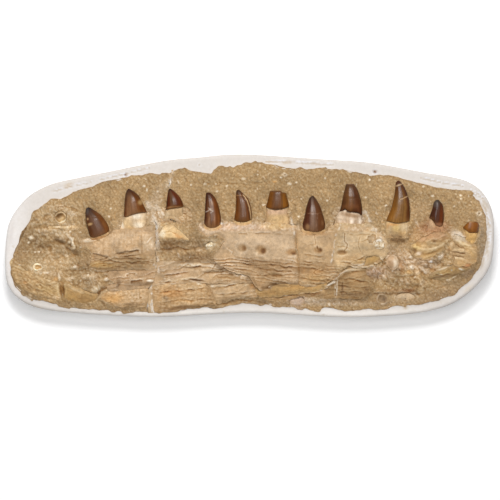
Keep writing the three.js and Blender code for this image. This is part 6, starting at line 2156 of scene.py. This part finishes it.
# %% [markdown]
# ## Slabs at the rear corner
# Two slabs of fibrous bone lie in the lower left corner. Their fibres run slanting down to the
# right, and a deep gap parts them.
# %% Rear slabs
def rear_slab(p):
    z = 0.5 * rough(*p.T, 9, 251, 4) + 0.7 * layers(p, -25, 5.0, 0.6, 252, 0.7)
    z += 0.4 * lumps(p[:, 0] + p[:, 1], p[:, 1] - 0.3 * p[:, 0], 4.4, 255, 2)
    z += ledge(p, [(-272, -44), (-260, -51), (-246, -57), (-232, -62)], 0.6, 5, 1.4)
    z += ledge(p, [(-268, -58), (-254, -65), (-240, -70)], 0.6, 5, 1.4)
    z += swell(p, -225, -65, 2.6, 8, -2.2, 8, 3)
    return z


def rear_slab_front(p):
    gap = swell(p, -224, -65, 2.6, 8, -2.2, 8, 3)
    return gap + 0.3 * rough(*p.T, 9, 253, 4) + 0.5 * layers(p, -20, 6, 0.6, 254)


dress("rear_slab_1", rear_slab, (182, 148, 102), [
    (-238, -56, 16, 2, -26, (206, 176, 132), 0.7), (-262, -51, 14, 2, -28, (190, 154, 108), 0.5),
    (-264, -62, 10, 3, -25, (158, 124, 82), 0.6), (-240, -66, 12, 4, -15, (186, 150, 96), 0.6),
    (-230, -66, 2.6, 8, 0, (196, 164, 116), 0.6), (-224.6, -65, 2.4, 8, 8, (134, 90, 38), 0.9),
    (-232, -75, 8, 1.6, 0, (206, 176, 136), 0.6), (-268, -56.6, 3, 2, 0, (186, 130, 72), 0.5),
    (-276, -48, 6, 3, -50, (170, 138, 96), 0.5), (-274, -40, 8, 1.6, -20, (196, 166, 122), 0.6),
], seed=36, tone_and_shade=lambda p: layer_tone_and_shade(p, -25, 5.0, 252, 0.7, 0.35))
dress("rear_slab_2", rear_slab_front, (180, 142, 90), [
    (-205, -65, 16, 1.8, -20, (204, 170, 122), 0.7), (-212, -74, 8, 3, -15, (186, 146, 86), 0.6),
    (-196, -77, 12, 2.6, -10, (160, 122, 74), 0.6), (-223.6, -65, 2.4, 8, 8, (134, 90, 38), 0.9),
    (-212, -63, 14, 1.4, -28, (212, 184, 142), 0.7), (-190, -73, 8, 3, -10, (176, 138, 86), 0.5),
], seed=37, tone_and_shade=lambda p: layer_tone_and_shade(p, -20, 6, 254, strength=0.3))

# %% [markdown]
# ## Socket, wedge and chips
# Small pieces of the jaw lie where they slipped to: the bone round the third tooth, a bright
# yellow wedge under it, and chips near the front.
# %% Socket, wedge and chips
def socket(p):
    x, y = p.T
    z = 0.9 * rough(x, y, 7, 261, 5) + 0.8 * lumps(x + 0.5 * y, y, 6, 268, 3)
    return z + 0.4 * layers(p, -28, 4, 0.8, 262)


def wedge(p):
    z = 0.3 * rough(*p.T, 6, 263, 4) + 0.4 * layers(p, 30, 5, 0.6, 264)
    return z + groove(p, [(-103, 3), (-95, 4), (-88, 1)], 0.5, 0.4, 0.8)


def chip(p):
    return 0.25 * rough(*p.T, 5, 265, 4) + 0.5 * layers(p, 22, 3.4, 0.7, 266)


# the two dark ovals along its lower edge are painted shadow
dress("socket_bone_03", socket, (190, 156, 114), [
    (-99, 18.4, 2.6, 1.0, 20, (128, 96, 60), 0.6), (-91, 17.2, 4.4, 0.8, -4, (138, 106, 70), 0.5),
    (-106, 25, 4, 5, 30, (214, 192, 162), 0.7), (-76, 27, 4, 6, 0, (176, 140, 98), 0.6),
    (-90, 30.5, 11, 1.4, 4, (206, 176, 140), 0.6), (-98, 22, 2.8, 2.2, 20, (234, 208, 168), 0.85),
    (-84, 25, 5, 2.2, -10, (212, 180, 134), 0.6), (-80, 21, 3, 1.6, -20, (216, 186, 146), 0.6),
    (-88, 12, 3, 2, 0, (204, 176, 140), 0.5),
], seed=38, ragged=3.0, grow=1.8, rounding=(0.4, 1.8), bank=(0.3, 0.3))
# the dark oval along its lower edge is painted shadow
dress("bone_wedge", wedge, (216, 182, 132), [
    (-104, 2, 3, 6, 0, (236, 218, 186), 0.8), (-84, -1.6, 7, 3, -35, (206, 150, 88), 0.7),
    (-95, -4.2, 7, 0.9, 0, (120, 86, 50), 0.8), (-98, 8.6, 5, 2, 5, (228, 198, 152), 0.6),
], seed=39, spacing=0.9)
dress("olive_chip", chip, (184, 150, 100), [
    (147, -29, 6, 3, 20, (182, 140, 78), 0.7), (152, -22, 8, 2.6, 4, (206, 176, 130), 0.7),
    (143, -35, 6, 1.6, 30, (136, 104, 62), 0.6),
], seed=40, spacing=0.9, ragged=2.2, grow=1.6, rounding=(0.6, 1.4))
dress("front_chip", chip, (184, 152, 110), [
    (241, -11, 1.6, 3, -10, (220, 196, 160), 0.6), (238, -17, 2, 4, 30, (196, 146, 86), 0.6),
    (237.6, -18, 2, 2.4, 30, (116, 84, 52), 0.8),
], seed=41, spacing=0.8)

# %% [markdown]
# ## Shells, pebbles and a spine
# The sea floor's other debris: cups and rings of shell, a domed pebble, nodules, and a thin rod.
# The rings are dished pieces with a raised lip, which the light from above picks out.
# %% Shells, pebbles and rod
# the lips are thickest at their lower left, an angle in radians
THICK_SIDE = 3.9


def dish(x, y, radius, depth, lip=0.7, squash=1.05):
    """A hollow of a radius with a raised, broken lip round it; squash makes it wider than tall."""

    def relief(p):
        away = np.hypot(p[:, 0] - x, (p[:, 1] - y) * squash)
        away = away + 0.9 * noise(p[:, 0] / 3.4, p[:, 1] / 3.4, 274)
        hollow = -depth * np.clip(1 - (away / radius) ** 3, 0, 1)
        broken = np.clip(0.5 + 1.3 * noise(p[:, 0] / 5, p[:, 1] / 5, 273), 0, 1.2)
        broken = broken * (1 + 0.6 * np.cos(np.arctan2(p[:, 1] - y, p[:, 0] - x) - THICK_SIDE))
        return hollow + lip * broken * np.exp(-(((away - radius) / 1.1) ** 2)) + 0.3 * rough(*p.T, 3, 271, 3)

    return relief


# inside the cup the dark upper part is painted shade and the pale lower part painted light
dress("shell_cup", dish(-226, 20.6, 6.6, 2.6, 0.7, 1.15), (194, 162, 118), [
    (-228, 23.4, 5.4, 2.8, 24, (116, 84, 46), 0.85), (-223.4, 17.4, 5, 2.8, 24, (230, 206, 162), 0.9),
    (-232, 22, 1.4, 4, 20, (200, 170, 126), 0.6),
], seed=52, spacing=0.6, slot="shell", finish=SHELL, grow=0.2, ragged=1.0, floor=37, bank=(0.1, 0.2))
# inside the ring the dark upper part is painted shade and the paler lower part painted light
dress("shell_ring", dish(-253, -38.4, 4.8, 1.5, 0.9, 1.4), (236, 212, 170), [
    (-253.4, -37.2, 3.4, 1.3, 0, (178, 140, 88), 0.85), (-252, -39.6, 3.4, 1.3, 0, (216, 180, 126), 0.6),
    (-250, -35, 4, 1.2, -30, (196, 164, 122), 0.8),
], seed=43, spacing=0.5, slot="shell", finish=SHELL, grow=1.1, ragged=0.7, floor=37)
dress("shell_bowl", dish(159.6, -77, 6.0, 1.1, 0.1), (166, 136, 100), [
    (159.6, -76.4, 5, 4.4, 0, (146, 120, 90), 0.6), (161, -76, 2.4, 2.2, 0, (112, 88, 62), 0.6),
    (158, -82, 6, 1.4, -10, (196, 170, 136), 0.6),
], seed=44, spacing=0.6, slot="shell", finish=SHELL, grow=0.2, ragged=2.4, floor=37, bank=(0.2, 0.2))


def domed(p):
    return 0.35 * rough(*p.T, 4, 272, 4)


def knobbly(p):
    """The surface of a nodule grown from small knobs."""
    return domed(p) + 0.6 * lumps(*p.T, 6.4, 276, 3)


# the dark oval at its lower left is painted shadow
dress("pebble_dome", domed, (196, 162, 126), [
    (174.6, -33, 2.6, 7, 0, (232, 212, 184), 0.85), (170, -27, 5, 2, 10, (206, 170, 132), 0.6),
    (168, -36, 3, 4, 0, (160, 122, 84), 0.6),
], seed=45, spacing=0.7, slot="shell", finish=SHELL, ragged=0.4, rounding=(2.4, 3.0))
dress("pebble_cream", knobbly, (240, 220, 184), [
    (-50, -9, 2, 1.2, 0, (214, 176, 120), 0.6),
], seed=46, spacing=0.5, slot="shell", finish=SHELL, ragged=1.0, rounding=(1.2, 1.4), grow=0.6, lift=1.0,
    bank=(1.8, 0.6))
dress("white_nodule", knobbly, (226, 204, 170), [
    (150.6, -6, 2.4, 2.6, 0, (152, 120, 84), 0.75), (154, -10, 1.2, 4, 10, (196, 166, 124), 0.7),
    (152.6, -8, 1.8, 1.4, 0, (244, 232, 210), 0.7), (157, -6, 1.6, 2, 0, (240, 230, 212), 0.7),
    (152, -15, 3, 1.2, 0, (150, 120, 86), 0.6),
], seed=47, spacing=0.6, slot="shell", finish=SHELL, ragged=2.6, grow=0.2, rounding=(1.2, 1.8), lift=3.6)
dress("spine_rod", knobbly, (204, 172, 128), [
    (-221, 10, 12, 0.9, 1, (230, 206, 166), 0.8), (-236, 8.6, 3, 2, 0, (214, 178, 120), 0.6),
], seed=48, spacing=0.6, ragged=1.8, grow=0.6, rounding=(1.2, 1.2), lift=0.8, bank=(1.6, 0.4))
dress("pale_slab_1", plain, (192, 166, 142), [
    (56, -84, 8, 1.0, -6, (140, 112, 84), 0.6),
], seed=49, spacing=0.8, ragged=3.0, rounding=(0.4, 2.0), bank=(0.2, 0.2))
dress("pale_slab_2", plain, (206, 178, 142), [
    (187, -77, 1.0, 0.8, 0, (90, 66, 44), 0.9), (180, -77, 8, 1.0, -4, (158, 130, 98), 0.5),
], seed=50, spacing=0.8, ragged=3.0, rounding=(0.4, 2.0), bank=(0.2, 0.2))

# %% [markdown]
# ## Both blocks of rock
# The break parts the rock into a rear and a front block. Each fills its own outline, and both take
# their relief and colours from the same functions, so the sand goes on across the break.
# %% Rear and front block
make_rock("matrix_rear", REAR_RING, 15)
make_rock("matrix_front", FRONT_RING, 16)

# %% [markdown]
# ## The filled break
# Glue and plaster fill the break. Where it crosses bone the fill was brought up level with the
# bone, and it looks grey against it; in the rock it lies a little lower.
# %% The filler
# the colours of the fill where it took bone dust, in the rock, beside bone, and where it is bare plaster
BONY, SANDY, GREY, BARE = (192, 160, 120), (184, 160, 126), (204, 190, 172), (232, 224, 212)
FILL_TOP, FILL_FOOT = 78, -93.5
# how high the fill lies, in millimetres, at places up the break
FILL_LEVELS = (
    (-95, 41.4), (-88, 42.2), (-62, 43.6), (-55, 45.6), (-42, 46.0), (-36, 48.2), (4, 48.2), (12, 47.4),
    (18, 46.0), (24, 38.0), (54, 38.0), (62, 43.0),
)


def make_filler():
    y = np.linspace(FILL_TOP, FILL_FOOT, 200)
    middle, half = break_at(y)
    left = np.column_stack([middle - half - 0.5 + 2.6 * rough(y, y * 0, 6, 301, 5), y])
    right = np.column_stack([middle + half + 0.5 + 2.6 * rough(y, y * 0 + 9, 6, 303, 5), y])
    ring = anticlockwise(np.vstack([left, right[::-1]]))
    flat, faces, (border,) = fill([ring], 0.8, 305)
    x, y = flat.T
    away = edge_distance(flat, ring)
    level = np.interp(y, *zip(*FILL_LEVELS))
    heights = level + 1.0 * rough(x, y, 4, 307, 5) - 0.5 * np.exp(-((away / 0.8) ** 2))
    edge_blend = np.clip((FILL_TOP - y) / 6, 0, 1) * np.clip((y - FILL_FOOT) / 4, 0, 1)
    heights = RIM_TOP + (heights - RIM_TOP) * edge_blend
    bony = np.clip(0.6 + 2.0 * rough(x, y * 0.6, 7, 308, 5), 0, 1)[:, None]
    grey = np.where((y > 50)[:, None], linear(SANDY), linear(GREY))
    colour = linear(BONY) * bony + grey * (1 - bony)
    colour = lay(colour, BARE, 0.8 * np.clip(2.4 * rough(x, y * 0.6, 3.0, 310, 4) - 0.2, 0, 1))
    middle, half = break_at(y)
    dark = 0.5 * np.exp(-(((x - middle + half) / 0.8) ** 2)) * np.clip((-55 - y) / 8, 0, 1)
    off_crack = (x - middle - 0.5 * rough(y, y * 0, 8, 312, 3)) / 0.5
    crack = 0.35 * np.exp(-(off_crack**2)) * np.clip((40 - np.abs(y + 20)) / 10, 0, 1)
    streaks = 0.3 * rough(x, y * 0.25, 2.2, 313, 3)
    colour = colour * (1 + (streaks - dark - crack)[:, None]) * mottle(flat, 311, 0.2, 0.2)
    wall = flat[border] - outward(flat[border]) * 0.4
    body = Body()
    body.top(flat, faces, heights, colour)
    # the wall is painted darker than the top, as painted shade
    body.wall(border, [(wall, height, colour[border] * 0.8) for height in (38, 28, 13)])
    return body.build("break_plaster", FILLER, "filler", "break_filler")


make_filler()

# %% [markdown]
# ## Floor and light
# The slab lies on white paper. A lamp from the head of the picture rakes the relief and throws the
# soft shadow below, and a wider one overhead gives the crowns their gleam. Plain display colours
# are used, so the colours chosen for the pieces come out as they went in.
# %% Stage and lamps
def make_floor():
    """White paper, far wider than the view."""
    mesh = bpy.data.meshes.new("floor")
    mesh.from_pydata([(-3, -3, 0), (3, -3, 0), (3, 3, 0), (-3, 3, 0)], [], [(0, 1, 2, 3)])
    finish, shader, join = new_finish("white paper")
    fibre = add_node(finish, "TexNoise", Scale=40)
    tone = add_node(finish, "ValToRGB")
    for stop, grey in zip(tone.color_ramp.elements, (0.84, 0.87)):
        stop.color = (grey, grey, grey, 1)
    join(fibre.outputs["Fac"], tone.inputs["Fac"])
    join(tone.outputs["Color"], shader.inputs["Base Color"])
    set_inputs(shader, Roughness=0.9, Specular_IOR_Level=0.1, Emission_Color=(1, 1, 1, 1),
        Emission_Strength=0.25)
    mesh.materials.append(finish)
    floor = put("floor", mesh)


def add_lamp(name, place, aim, size, power):
    """A rectangular lamp at a place, turned towards its aim."""
    lamp = bpy.data.lights.new(name, "AREA")
    lamp.shape = "RECTANGLE"
    lamp.size, lamp.size_y = size
    lamp.energy = power
    holder = put(name, lamp)
    holder.location = place
    holder.rotation_euler = (Vector(aim) - Vector(place)).to_track_quat("-Z", "Y").to_euler()
    holder.visible_camera = False


make_floor()
add_lamp("window lamp", (-0.06, 0.92, 1.94), (0, 0, 0.03), (0.6, 0.5), 30.6)
add_lamp("overhead lamp", (-0.05, 0.2, 2.3), (0, 0, 0.03), (1.0, 0.6), 13)
world = bpy.data.worlds.new("studio air")
world.use_nodes = True
set_inputs(world.node_tree.nodes["Background"], Color=(0.97, 0.98, 1.0, 1), Strength=0.26)
bpy.context.scene.world = world
bpy.context.scene.view_settings.view_transform = "Standard"

# %% [markdown]
# ## Camera
# The slab was photographed from straight above. A long lens far away keeps the view nearly
# parallel, so no wall of the jacket leans into the picture. Its distance follows from the width
# that the picture should show.
# %% The camera above
# focal length and sensor in millimetres; the view is 0.6 m wide at the height of the relief
FOCAL, SENSOR = 250, 36
VIEW_WIDTH, RELIEF_HEIGHT = 0.6, 0.03
lens = bpy.data.cameras.new("camera")
lens.type = "PERSP"
lens.lens = FOCAL
lens.sensor_width = SENSOR
lens.clip_end = 40
camera = put("camera", lens)
camera.location = (0.00047, -0.017, RELIEF_HEIGHT + VIEW_WIDTH * FOCAL / SENSOR)
bpy.context.scene.camera = camera
print("camera height:", round(camera.location.z, 3), "m")
